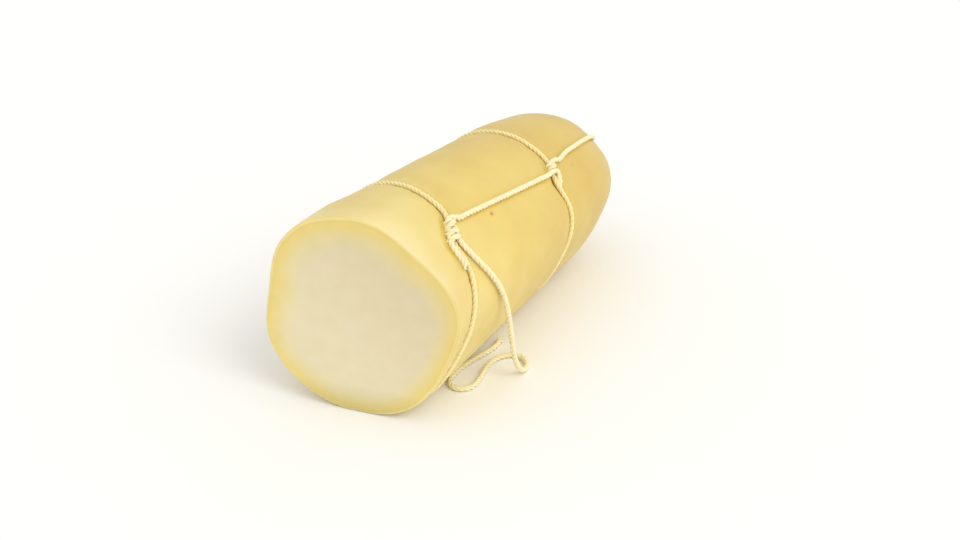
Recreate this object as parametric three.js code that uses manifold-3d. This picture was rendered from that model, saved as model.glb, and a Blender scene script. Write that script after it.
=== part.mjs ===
// A provolone of the long "salame" shape, tied with twine and cut across at the front.
//
// Millimetres, +Z up. The log lies along +Y on the surface Z = 0, its cut face towards -Y.
// Everything is worked out in the log's own frame, where Y = 0 is the middle of the cut face and
// X = 0 is the log's axis there, and angles round the log go from +X towards +Z. The whole is
// then moved so that the origin is under the middle of the bound log.

import * as THREE from 'three';
import { ParametricGeometry } from 'three/addons/geometries/ParametricGeometry.js';
import { mergeVertices } from 'three/addons/utils/BufferGeometryUtils.js';
import Module from 'manifold-3d';

// ---- Driving dimensions: the log ----

const RADIUS = 52.5; // mean radius behind the cut face
const LENGTH = 238; // from the cut face to the tip of the far end
const DOME_LENGTH = 67; // how much of that is the rounded far end
const DOME_POWER = 2.3; // 2 makes the far end an ellipsoid, more makes it blunter
const TAPER = 0.13; // share of the radius that is lost along the length
const BOW = 2; // how far the axis has drifted sideways at the far end
const CUT_SLOPE = { x: 0.16, z: 0.03 }; // the knife went across a little askew: rise in Y per mm
const CUT_EDGE = 0.6; // rounding of the cut face's edge
const PRESSED_FLAT = 0.6; // how much of the underside its own weight has flattened

// The section isn't round: waves round it, each with its height as a share of the radius.
const LOBES = [
  { waves: 2, height: 0.039, crest: 71 },
  { waves: 3, height: 0.02, crest: 2 },
  { waves: 4, height: 0.023, crest: 31 },
  { waves: 5, height: 0.01, crest: 1 },
  { waves: 6, height: 0.006, crest: 15 },
];

// The long hollows that the lengthwise twine has pulled into the two sides it runs along.
const HOLLOWS = [
  { angle: 48, depth: 0.04 },
  { angle: 228, depth: 0.023 },
];
const HOLLOW_SPREAD = 19.5; // degrees from a hollow's middle to where it has mostly faded

// ---- Driving dimensions: the twine ----

const TWINE = 3; // diameter
const TWINE_SIDES = 8;
const GAP = 0.35; // clearance between the twine and what it lies on
const SUNK = 0.5; // how far a girth's middle lies below the skin
const WAIST = { depth: 1.1, reach: 7 }; // the skin's soft dip towards each girth
const FLOOR_CLEARANCE = 0.2; // a girth stays this far inside the flattened underside

// Each girth lies in a slanting plane, y = at + x * slopeX + z * slopeZ, and swings to either
// side of its knot, where the lengthwise twine pulls on it.
const FRONT_GIRTH = { at: 35.2, slopeX: -0.25, slopeZ: 0.285, knot: 54, swing: 2.6, swingSpread: 9 };
const REAR_GIRTH = { at: 143.3, slopeX: -0.09, slopeZ: 0.11, knot: 44, swing: 2.8, swingSpread: 11 };

// The lengthwise twine: from the front knot to the rear one, and from there over the far end and
// back along the other side to the front girth. Angles are those of the run's two ends.
const TOP_RUN = { fromAngle: 55.2, fromY: 45.8, toAngle: 45.2, toY: 137 };
const BACK_RUN = { fromAngle: 49.6, fromY: 154, overAngle: 51.2, underAngle: 231.2 };
const EARLY_TURN = 0.6; // share of the back run's first turn that it has made half way to the far end

// Knots are lumps of crossing strands: half sizes along the girth, along the log and outward.
const FRONT_KNOT = { angle: 55, along: 7, across: 2.9, height: 2.2, turns: [-28, 22] };
const REAR_KNOT = { angle: 48.5, along: 6, across: 2.4, height: 2, turns: [30, 66] };
const UNDER_KNOT = { angle: 231.2, along: 5, across: 2.8, height: 2, turns: [-25, 25] };
const KNOT_GAP = 0.22; // from the skin to a knot's underside, which rests on its girth

// The loose end of the twine leaves the front knot, hangs down the flank to the surface and
// lies there in a loose bight under the log's side.
const TAIL_ROUTE = [
  [35.4, 36.3, 88.3],
  [37.6, 36, 86.4],
  [40.2, 36.1, 84.1],
  [43, 36.5, 81.5],
  [46.1, 37.5, 78.2],
  [49.1, 39.4, 74],
  [51.4, 42.2, 68.7],
  [52.7, 45.6, 62.7],
  [52.8, 49.2, 56.4],
  [52.9, 52.2, 50],
  [53, 54.8, 42],
  [53.1, 57.1, 32.5],
  [53.3, 59.1, 22.5],
  [53.7, 61.3, 13],
  [54.7, 64.5, 5.6],
  [55.2, 69.6, 2.1],
  [53.6, 75.8, 1.6],
  [48.9, 80.2, 1.6],
  [43, 80.2, 1.6],
  [38.4, 76, 1.6],
  [36.2, 69.4, 1.6],
  [36.6, 62, 1.6],
  [38.2, 54, 1.6],
  [38.9, 47.2, 1.6],
  [38.2, 42.4, 1.6],
  [35.6, 39.2, 1.6],
  [32, 38, 1.6],
  [28.5, 39.2, 1.6],
  [26, 42.6, 1.6],
  [24.8, 47.4, 1.6],
  [24.6, 52.6, 1.6],
  [25.4, 60.2, 1.6],
  [27.2, 68, 1.6],
  [29.2, 75.6, 1.6],
  [30.4, 83.2, 1.6],
  [29.8, 90.8, 1.6],
];

// ---- How finely the log's surface is divided ----

const COLUMNS = 60;
const CUT_SHARES = [0, 0.35, 0.7];
const FRONT_ROWS = 3;
const MIDDLE_ROWS = 8;
const REAR_ROWS = 2;
const DOME_ROWS = 10;
const ROW_STEP = 6; // from a groove's last row to the next row of skin
const LUMP_SIDES = 12;
const LUMP_RINGS = 8;
const RUN_SPACING = 9; // between the points that a lengthwise run is laid through
const STEPS_PER_POINT = 2;
const OVER_POINTS = 9; // from where the far end starts to round off to its tip
const TAIL_STEPS = 64;

// Worked out in small steps.
const GIRTH_PASSES = 6; // after these a girth's place along the log has settled
const SLANT_STEP = 1; // degrees to either side that give a girth's slant
const KNOT_STEP = 5; // degrees to either side that give a knot's direction

// A girth's groove: offsets along the log from the twine's middle, and heights against it.
// A row without a height follows the skin.
const GROOVE_ROWS = [
  { offset: -6.5 },
  { offset: -2.6 },
  { offset: -2.1, height: 0 },
  { offset: -1.1, height: -TWINE / 2 - GAP },
  { offset: 1.1, height: -TWINE / 2 - GAP },
  { offset: 2.1, height: 0 },
  { offset: 2.6 },
  { offset: 6.5 },
];

// Where the bound log's middle is in the log's own frame.
const ORIGIN = { x: 1.1, y: 116.5 };

// ---- The form of the log ----

const { cos, sin, exp, min, max, hypot, PI } = Math;
const radians = (degrees) => (degrees * PI) / 180;
const degreesApart = (a, b) => ((((a - b) % 360) + 540) % 360) - 180;
const { lerp } = THREE.MathUtils;

/** The section's radius at an angle in degrees, as a share of the mean radius. */
function sectionShare(angle) {
  let share = 1;
  for (const { waves, height, crest } of LOBES) {
    share += height * cos(radians(waves * (angle - crest)));
  }
  for (const hollow of HOLLOWS) {
    share -= hollow.depth * exp(-((degreesApart(angle, hollow.angle) / HOLLOW_SPREAD) ** 2));
  }
  return share;
}

/** The mean radius at y, without the rounding of the far end. */
const barrelRadius = (y) => RADIUS * (1 - (TAPER * y) / LENGTH);

/** How much of the barrel's radius the rounded far end keeps at y. */
function domeShare(y) {
  const along = min(max((y - (LENGTH - DOME_LENGTH)) / DOME_LENGTH, 0), 1);
  return (1 - along ** DOME_POWER) ** (1 / DOME_POWER);
}

/** The log's axis at y: it drifts sideways, and its height keeps the underside on the surface. */
function axisAt(y) {
  const height = barrelRadius(y) * sectionShare(270) - PRESSED_FLAT;
  return new THREE.Vector3(BOW * (y / LENGTH) ** 2, y, height);
}

/** The skin's distance from the axis at an angle and y, without waists and the flat underside. */
const bareRadius = (angle, y) => barrelRadius(y) * domeShare(y) * sectionShare(angle);

/** A point at a distance from the axis. */
function radialPoint(angle, y, distance) {
  const a = radians(angle);
  return axisAt(y).add(new THREE.Vector3(distance * cos(a), 0, distance * sin(a)));
}

/** Where a girth crosses an angle, along the log. */
function girthY(girth, angle) {
  const a = radians(angle);
  const reach = degreesApart(angle, girth.knot) / girth.swingSpread;
  const swing = girth.swing * reach * exp(0.5 - 0.5 * reach * reach);
  let y = girth.at;
  for (let pass = 0; pass < GIRTH_PASSES; pass += 1) {
    const distance = bareRadius(angle, y);
    y = girth.at + distance * (girth.slopeX * cos(a) + girth.slopeZ * sin(a));
  }
  return y + swing;
}

/** How much longer a girth's groove is along the log than across the twine, as the girth slants. */
function girthSlant(girth, angle) {
  const rise = girthY(girth, angle + SLANT_STEP) - girthY(girth, angle - SLANT_STEP);
  const arc = radians(2 * SLANT_STEP) * bareRadius(angle, girth.at);
  return hypot(1, rise / arc);
}

/** The skin's distance from the axis, with the soft waist at each girth. */
function skinRadius(angle, y) {
  let distance = bareRadius(angle, y);
  for (const girth of [FRONT_GIRTH, REAR_GIRTH]) {
    const away = (y - girthY(girth, angle)) / WAIST.reach;
    distance -= WAIST.depth * exp(-away * away);
  }
  return max(distance, 0);
}

/** A point of the skin: what would reach below the surface is pressed flat on it. */
function skinPoint(angle, y) {
  const point = radialPoint(angle, y, skinRadius(angle, y));
  point.z = max(point.z, 0);
  return point;
}

/** The middle of a girth's twine at an angle, as a distance from the axis. */
function girthDistance(girth, angle) {
  const y = girthY(girth, angle);
  const distance = skinRadius(angle, y) - SUNK;
  const lowest = TWINE / 2 + FLOOR_CLEARANCE - axisAt(y).z;
  const down = sin(radians(angle)) * distance;
  return down < lowest ? (distance * lowest) / down : distance;
}

// ---- The cheese ----

/** The cut face's Y at a point of the section. */
function cutY(angle, share) {
  const distance = share * bareRadius(angle, 0);
  const a = radians(angle);
  return distance * (CUT_SLOPE.x * cos(a) + CUT_SLOPE.z * sin(a));
}

/** A point of the cut face, at a share of the way out to its edge. */
function cutPoint(angle, share) {
  const y = cutY(angle, share);
  const reach = (skinRadius(angle, cutY(angle, 1)) - CUT_EDGE) * share;
  const point = radialPoint(angle, y, reach);
  point.z = max(point.z, CUT_EDGE);
  return point;
}

/** A point of a girth's groove. */
function groovePoint(girth, angle, row) {
  const y = girthY(girth, angle) + row.offset * girthSlant(girth, angle);
  const skin = skinPoint(angle, y);
  if (row.height === undefined) {
    return skin;
  }
  const floor = radialPoint(angle, y, girthDistance(girth, angle) + row.height);
  const axis = axisAt(y);
  return floor.distanceTo(axis) < skin.distanceTo(axis) ? floor : skin;
}

/** The rows of points that the cheese's surface is made of, from the cut to the far tip. */
function cheeseRows() {
  const rows = CUT_SHARES.map((share) => (angle) => cutPoint(angle, share));
  rows.push((angle) => cutPoint(angle, 1));
  const between = (count, start, end) => {
    for (let step = 0; step < count; step += 1) {
      const t = step / count;
      rows.push((angle) => skinPoint(angle, lerp(start(angle), end(angle), t)));
    }
  };
  const across = (girth) => {
    for (const row of GROOVE_ROWS) {
      rows.push((angle) => groovePoint(girth, angle, row));
    }
  };
  const domeStart = LENGTH - DOME_LENGTH;
  const reach = (girth, angle) => GROOVE_ROWS.at(-1).offset * girthSlant(girth, angle);
  const past = (girth) => (angle) => girthY(girth, angle) + reach(girth, angle) + ROW_STEP;
  const before = (girth) => (angle) => girthY(girth, angle) - reach(girth, angle);
  between(FRONT_ROWS, (angle) => cutY(angle, 1) + CUT_EDGE, before(FRONT_GIRTH));
  across(FRONT_GIRTH);
  between(MIDDLE_ROWS, past(FRONT_GIRTH), before(REAR_GIRTH));
  across(REAR_GIRTH);
  between(REAR_ROWS, past(REAR_GIRTH), () => domeStart);
  for (let step = 0; step <= DOME_ROWS; step += 1) {
    const along = sin((PI / 2) * (step / DOME_ROWS)) ** (2 / DOME_POWER);
    rows.push((angle) => skinPoint(angle, domeStart + along * DOME_LENGTH));
  }
  return rows;
}

/** The cheese: one closed surface through the rows. */
function cheeseGeometry() {
  const rows = cheeseRows();
  const place = (u, v, target) => {
    const column = Math.round((1 - u) * COLUMNS) % COLUMNS;
    const row = rows[Math.round(v * (rows.length - 1))];
    target.copy(row((360 * column) / COLUMNS));
  };
  return new ParametricGeometry(place, COLUMNS, rows.length - 1);
}

// ---- The twine ----

const twineSection = new THREE.Shape();
for (let side = 0; side < TWINE_SIDES; side += 1) {
  const a = (2 * PI * side) / TWINE_SIDES;
  const corner = [(TWINE / 2) * cos(a), (TWINE / 2) * sin(a)];
  if (side === 0) {
    twineSection.moveTo(...corner);
  } else {
    twineSection.lineTo(...corner);
  }
}
twineSection.closePath();

/** A length of twine through points. */
function twineRun(points, steps) {
  const extrudePath = new THREE.CatmullRomCurve3(points, false, 'centripetal');
  return new THREE.ExtrudeGeometry(twineSection, { steps, extrudePath, bevelEnabled: false });
}

/** A point over the skin, lifted off it at right angles. */
function liftedPoint(angle, y, lift) {
  const distance = skinRadius(angle, y);
  const along = max((y - (LENGTH - DOME_LENGTH)) / DOME_LENGTH, 0);
  const outward = domeShare(y) ** (DOME_POWER - 1) / barrelRadius(y);
  const endward = along ** (DOME_POWER - 1) / DOME_LENGTH;
  const size = hypot(outward, endward);
  const point = radialPoint(angle, y, distance + (lift * outward) / size);
  point.y += (lift * endward) / size;
  return point;
}

/** A girth: the closed ring of twine in its groove. */
function girthRing(girth) {
  const points = [];
  for (let column = 0; column < COLUMNS; column += 1) {
    const angle = (360 * column) / COLUMNS;
    points.push(radialPoint(angle, girthY(girth, angle), girthDistance(girth, angle)));
  }
  const curve = new THREE.CatmullRomCurve3(points, true);
  return new THREE.TubeGeometry(curve, COLUMNS, TWINE / 2, TWINE_SIDES, true);
}

/** A knot's lumps: egg shapes turned across each other on the girth. */
function knotLumps(girth, knot) {
  const at = (angle) => radialPoint(angle, girthY(girth, angle), girthDistance(girth, angle));
  const middle = at(knot.angle);
  const along = at(knot.angle - KNOT_STEP).sub(at(knot.angle + KNOT_STEP)).normalize();
  const outward = middle.clone().sub(axisAt(middle.y)).normalize();
  const across = new THREE.Vector3().crossVectors(outward, along).normalize();
  outward.crossVectors(along, across);
  const stand = new THREE.Matrix4().makeBasis(along, across, outward);
  const centre = middle.addScaledVector(outward, SUNK + KNOT_GAP + knot.height);
  return knot.turns.map((turn) => {
    const lump = new THREE.SphereGeometry(1, LUMP_SIDES, LUMP_RINGS);
    lump.scale(knot.along, knot.across, knot.height);
    lump.rotateZ(radians(turn) / 2);
    lump.applyMatrix4(stand);
    lump.translate(centre.x, centre.y, centre.z);
    return lump;
  });
}

// ---- Solids ----

const wasm = await Module();
wasm.setup();

/** The geometry with shared corners and no collapsed triangles. */
function welded(geometry) {
  const bare = geometry.clone();
  bare.deleteAttribute('normal');
  bare.deleteAttribute('uv');
  const merged = mergeVertices(bare);
  const index = Array.from(merged.index.array);
  const kept = [];
  for (let i = 0; i < index.length; i += 3) {
    const [a, b, c] = index.slice(i, i + 3);
    if (a !== b && b !== c && c !== a) {
      kept.push(a, b, c);
    }
  }
  merged.setIndex(kept);
  return merged;
}

/** The geometry as a manifold solid. */
function solidOf(geometry) {
  const merged = welded(geometry);
  return new wasm.Manifold(
    new wasm.Mesh({
      numProp: 3,
      vertProperties: new Float32Array(merged.attributes.position.array),
      triVerts: new Uint32Array(merged.index.array),
    }),
  );
}

/** The closed geometries joined into one. */
function joined(geometries) {
  const [first, ...rest] = geometries.map(solidOf);
  const mesh = rest.reduce((sum, solid) => sum.add(solid), first).getMesh();
  const geometry = new THREE.BufferGeometry();
  geometry.setAttribute('position', new THREE.BufferAttribute(mesh.vertProperties, 3));
  geometry.setIndex(new THREE.BufferAttribute(mesh.triVerts, 1));
  return geometry;
}

const RIND = new THREE.MeshStandardMaterial({ color: 0xefdb8f, roughness: 0.42, metalness: 0 });
const COTTON = new THREE.MeshStandardMaterial({ color: 0xf4e7bd, roughness: 0.9, metalness: 0 });

/** A named mesh with flat-shaded faces. */
function piece(name, geometry, material) {
  geometry.computeVertexNormals();
  const mesh = new THREE.Mesh(geometry, material);
  mesh.name = name;
  return mesh;
}

// ---- The pieces ----

const LIFT = TWINE / 2 + GAP;
const UNDER_KNOT_REACH = 4.5; // from the front girth's middle to the run that ends at its knot
const CROSSING = { lift: 0.3, reach: 6 }; // the run's rise over the rear girth

/** The lengthwise twine between the two knots. */
function topRun() {
  const count = Math.round((TOP_RUN.toY - TOP_RUN.fromY) / RUN_SPACING);
  const points = [];
  for (let step = 0; step <= count; step += 1) {
    const t = step / count;
    const angle = lerp(TOP_RUN.fromAngle, TOP_RUN.toAngle, t);
    points.push(liftedPoint(angle, lerp(TOP_RUN.fromY, TOP_RUN.toY, t), LIFT));
  }
  return twineRun(points, STEPS_PER_POINT * count);
}

/** The lengthwise twine from the rear knot over the far end and back to the front girth. */
function backRun() {
  const domeStart = LENGTH - DOME_LENGTH;
  const points = [];
  const halfway = (BACK_RUN.fromY + domeStart) / 2;
  const turned = lerp(BACK_RUN.fromAngle, BACK_RUN.overAngle, EARLY_TURN);
  points.push(liftedPoint(BACK_RUN.fromAngle, BACK_RUN.fromY, LIFT));
  points.push(liftedPoint(turned, halfway, LIFT));
  for (let step = 0; step <= 2 * OVER_POINTS; step += 1) {
    const turn = (PI / 2) * (step / OVER_POINTS);
    const y = domeStart + sin(turn) ** (2 / DOME_POWER) * DOME_LENGTH;
    const angle = step <= OVER_POINTS ? BACK_RUN.overAngle : BACK_RUN.underAngle;
    points.push(liftedPoint(angle, y, LIFT));
  }
  const rearY = girthY(REAR_GIRTH, BACK_RUN.underAngle);
  const endY = girthY(FRONT_GIRTH, BACK_RUN.underAngle) + UNDER_KNOT_REACH;
  const count = Math.round((domeStart - endY) / RUN_SPACING);
  for (let step = 1; step <= count; step += 1) {
    const y = lerp(domeStart, endY, step / count);
    const crossing = CROSSING.lift * exp(-(((y - rearY) / CROSSING.reach) ** 2));
    const waist = WAIST.depth * exp(-(((y - rearY) / WAIST.reach) ** 2));
    points.push(liftedPoint(BACK_RUN.underAngle, y, LIFT + crossing + waist));
  }
  return twineRun(points, STEPS_PER_POINT * (points.length - 1));
}

const bound = new THREE.Group();
bound.add(
  piece('cheese', welded(cheeseGeometry()), RIND),
  piece(
    'twine_girth_front',
    joined([
      girthRing(FRONT_GIRTH),
      ...knotLumps(FRONT_GIRTH, FRONT_KNOT),
      ...knotLumps(FRONT_GIRTH, UNDER_KNOT),
    ]),
    COTTON,
  ),
  piece(
    'twine_girth_rear',
    joined([girthRing(REAR_GIRTH), ...knotLumps(REAR_GIRTH, REAR_KNOT)]),
    COTTON,
  ),
  piece('twine_run_top', topRun(), COTTON),
  piece('twine_run_back', backRun(), COTTON),
);

const tailPoints = TAIL_ROUTE.map((point) => new THREE.Vector3(...point));
const tail = piece('twine_tail', twineRun(tailPoints, TAIL_STEPS), COTTON);

const provolone = new THREE.Group();
provolone.add(bound, tail);
provolone.position.set(-ORIGIN.x, -ORIGIN.y, 0);

export default provolone;
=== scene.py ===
"""A provolone of the long salami shape, bound with cotton twine and cut across at the front.

The cheese is one piece: a log of pulled curd in a smooth brined skin, which the twine has pressed
into. The twine is one three-ply cotton cord. It goes round the log in two girths, runs along it
between their knots, over the far end and back underneath, and leaves a loose tail on the surface.

Sizes are millimetres in the log's own frame. There Y = 0 is the middle of the cut face, X = 0 is
the log's axis, Z = 0 is the surface it lies on, and angles round the log go from +X towards +Z.
"""

import logging
import math
from collections.abc import Mapping, Sequence
from dataclasses import dataclass, field
from enum import Enum

import bpy
import numpy as np
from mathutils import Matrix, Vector


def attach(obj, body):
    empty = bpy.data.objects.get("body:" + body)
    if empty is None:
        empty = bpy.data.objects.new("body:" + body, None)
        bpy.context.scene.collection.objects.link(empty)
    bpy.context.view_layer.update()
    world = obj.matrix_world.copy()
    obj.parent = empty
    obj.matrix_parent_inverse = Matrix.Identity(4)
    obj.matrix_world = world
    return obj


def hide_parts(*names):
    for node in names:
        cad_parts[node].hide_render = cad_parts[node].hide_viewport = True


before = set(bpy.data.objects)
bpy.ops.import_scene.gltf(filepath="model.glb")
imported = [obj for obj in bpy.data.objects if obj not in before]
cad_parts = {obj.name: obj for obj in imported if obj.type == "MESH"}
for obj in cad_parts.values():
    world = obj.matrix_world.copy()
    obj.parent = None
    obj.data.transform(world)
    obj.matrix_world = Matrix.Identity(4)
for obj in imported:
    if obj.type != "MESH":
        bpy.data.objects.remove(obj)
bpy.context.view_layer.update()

LOG = logging.getLogger("provolone")
MM = 0.001
ORIGIN = np.array([1.1, 116.5, 0.0])  # the bound log's middle, in the log's own frame
UP = np.array([0.0, 0.0, 1.0])
ALONG = np.array([0.0, 1.0, 0.0])

Colour = tuple[float, float, float, float]
LocalPoint = tuple[float, float, float]  # near a knot: round the girth, along the log, over the skin


# ---- Helpers ----


def linear(hex_colour: str) -> Colour:
    """Turns an sRGB hex colour into Blender's linear one.

    Args:
        hex_colour: The colour as "#RRGGBB".

    Returns:
        The linear red, green and blue, and an alpha of 1.
    """
    parts = [int(hex_colour[start : start + 2], 16) / 255 for start in (1, 3, 5)]
    red, green, blue = (
        part / 12.92 if part <= 0.04045 else ((part + 0.055) / 1.055) ** 2.4 for part in parts
    )
    return red, green, blue, 1.0


def placed(points: np.ndarray) -> np.ndarray:
    """Points of the log's own frame, in millimetres, as points of the row frame, in metres."""
    return (points - ORIGIN) * MM


def degrees_apart(first: np.ndarray, second: np.ndarray | float) -> np.ndarray:
    """The signed turn from the second angle to the first, from -180 to 180 degrees."""
    return (first - second + 180) % 360 - 180


def radial(angle: np.ndarray) -> np.ndarray:
    """The direction outwards from the log's axis at each angle in degrees."""
    turn = np.radians(angle)
    return np.stack([np.cos(turn), np.zeros_like(turn), np.sin(turn)], axis=-1)


def unit(vectors: np.ndarray) -> np.ndarray:
    """The vectors at length 1."""
    return vectors / np.maximum(np.linalg.norm(vectors, axis=-1, keepdims=True), 1e-9)


def bell(distance: np.ndarray, reach: np.ndarray | float) -> np.ndarray:
    """A smooth hump of height 1 that has faded to about a third at its reach."""
    return np.exp(-((distance / reach) ** 2))


def ease(value: np.ndarray, low: float, high: float) -> np.ndarray:
    """0 below low, 1 above high and a smooth rise between them."""
    share = np.clip((value - low) / (high - low), 0, 1)
    return share * share * (3 - 2 * share)


@dataclass(frozen=True)
class Unevenness:
    """A smooth irregular height over space, summed from waves in seeded directions.

    Attributes:
        seed: What the directions and phases are drawn from.
        shortest: The shortest wave's length.
        longest: The longest wave's length.
        height: The typical height of the sum.
        waves: How many waves there are.
        fall: The power of its length by which a shorter wave is lower.
    """

    seed: int
    shortest: float
    longest: float
    height: float
    waves: int = 18
    fall: float = 0.6

    def at(self, points: np.ndarray) -> np.ndarray:
        """The height at each point.

        Args:
            points: The points.

        Returns:
            One height for each of them.
        """
        draw = np.random.default_rng(self.seed)
        ways = unit(draw.normal(size=(self.waves, 3)))
        phases = draw.uniform(0, 2 * np.pi, self.waves)
        lengths = np.geomspace(self.longest, self.shortest, self.waves)
        total = np.zeros(points.shape[:-1])
        for way, phase, length in zip(ways, phases, lengths, strict=True):
            share = (length / self.longest) ** self.fall
            total += share * np.sin(points @ way * 2 * np.pi / length + phase)
        return self.height * total / math.sqrt(self.waves)


@dataclass
class MeshParts:
    """Points in the log's own frame, the faces on them and what is known at each point.

    Attributes:
        points: One row for each point.
        faces: Blocks of faces, each block with one row of point numbers for each face.
        known: Named values, one for each point, which the finishes read.
        kinds: The finish of each block of faces, as a place in the piece's list of finishes.
    """

    points: np.ndarray
    faces: list[np.ndarray]
    known: dict[str, np.ndarray] = field(default_factory=dict)
    kinds: list[int] = field(default_factory=list)

    @staticmethod
    def joined(parts: Sequence["MeshParts"]) -> "MeshParts":
        """The parts as one, all of the first finish.

        Args:
            parts: The parts, which know the same values.

        Returns:
            All their points and faces, in their order.
        """
        starts = np.cumsum([0] + [len(part.points) for part in parts])
        faces = [
            block + start for part, start in zip(parts, starts, strict=False) for block in part.faces
        ]
        names = parts[0].known
        known = {name: np.concatenate([part.known[name] for part in parts]) for name in names}
        return MeshParts(np.concatenate([part.points for part in parts]), faces, known)

    def piece(self, name: str, finishes: Sequence[bpy.types.Material], slot: str) -> bpy.types.Object:
        """Makes the smooth-shaded piece, which rides on the one body.

        Args:
            name: The piece's name.
            finishes: Its materials, which kinds counts in.
            slot: The record's material slot that it belongs to. It is not used.

        Returns:
            The new object.
        """
        mesh = bpy.data.meshes.new(name)
        faces = [face for block in self.faces for face in block.tolist()]
        mesh.from_pydata(placed(self.points).tolist(), [], faces)
        for finish in finishes:
            mesh.materials.append(finish)
        if self.kinds:
            kinds = np.repeat(self.kinds, [len(block) for block in self.faces])
            mesh.polygons.foreach_set("material_index", kinds.astype(np.int32))
        for label, values in self.known.items():
            if values.ndim == 1:
                layer = mesh.attributes.new(label, "FLOAT", "POINT")
                layer.data.foreach_set("value", values.astype(np.float32))
            else:
                layer = mesh.attributes.new(label, "FLOAT_VECTOR", "POINT")
                layer.data.foreach_set("vector", values.astype(np.float32).ravel())
        mesh.shade_smooth()
        mesh.update()
        made = bpy.data.objects.new(name, mesh)
        bpy.context.scene.collection.objects.link(made)
        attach(made, "root")
        LOG.info("%s: %d points, %d faces", name, len(mesh.vertices), len(mesh.polygons))
        return made


def add_node(
    tree: bpy.types.NodeTree,
    kind: str,
    sockets: Mapping[str | int, object] | None = None,
    stops: Sequence[tuple[float, str]] = (),
    **settings: object,
) -> bpy.types.Node:
    """Adds a node with its settings and links.

    Args:
        tree: The material's or world's node tree.
        kind: The node's type.
        sockets: For each input, by name or place, its value or the output that feeds it.
        stops: A colour ramp's places and its sRGB hex colours.
        settings: The node's other properties.

    Returns:
        The new node.
    """
    node = tree.nodes.new(kind)
    for name, value in settings.items():
        setattr(node, name, value)
    for name, value in (sockets or {}).items():
        if isinstance(value, bpy.types.NodeSocket):
            tree.links.new(value, node.inputs[name])
        else:
            node.inputs[name].default_value = value
    if stops:
        elements = node.color_ramp.elements
        while len(elements) < len(stops):
            elements.new(0.5)
        for element, (place, colour) in zip(elements, stops, strict=True):
            element.position = place
            element.color = linear(colour)
    return node


def new_material(name: str) -> tuple[bpy.types.Material, bpy.types.NodeTree, bpy.types.Node]:
    """Makes an empty material.

    Args:
        name: Its name.

    Returns:
        The material, its node tree and its output node.
    """
    material = bpy.data.materials.new(name)
    material.use_nodes = True
    material.node_tree.nodes.clear()
    output = add_node(material.node_tree, "ShaderNodeOutputMaterial")
    return material, material.node_tree, output


# ---- The form of the log ----


@dataclass(frozen=True)
class Lobe:
    """A wave round the section: its height is a share of the radius, its crest an angle."""

    waves: int
    height: float
    crest: float


@dataclass(frozen=True)
class Hollow:
    """A long hollow that the lengthwise twine has pulled into a side of the log."""

    angle: float
    depth: float


@dataclass(frozen=True)
class GirthLine:
    """Where a turn of twine goes round the log.

    It lies in a slanting plane and swings to either side of its knot, where the lengthwise twine
    pulls on it.

    Attributes:
        at: Its place along the log, on the axis.
        slope_x: The plane's rise along the log for each millimetre to +X.
        slope_z: The plane's rise along the log for each millimetre up.
        knot: The angle of its knot.
        swing: How far it swings.
        swing_spread: How many degrees from the knot it swings furthest.
    """

    at: float
    slope_x: float
    slope_z: float
    knot: float
    swing: float
    swing_spread: float


FRONT_LINE = GirthLine(at=35.2, slope_x=-0.25, slope_z=0.285, knot=54, swing=2.6, swing_spread=9)
REAR_LINE = GirthLine(at=143.3, slope_x=-0.09, slope_z=0.11, knot=44, swing=2.8, swing_spread=11)
TWINE_DIAMETER = 3.0  # in millimetres, as the solids have it
UNDERSIDE = 270.0  # the angle of straight down
GIRTH_PASSES = 6  # after these a girth's place along the log has settled


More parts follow.
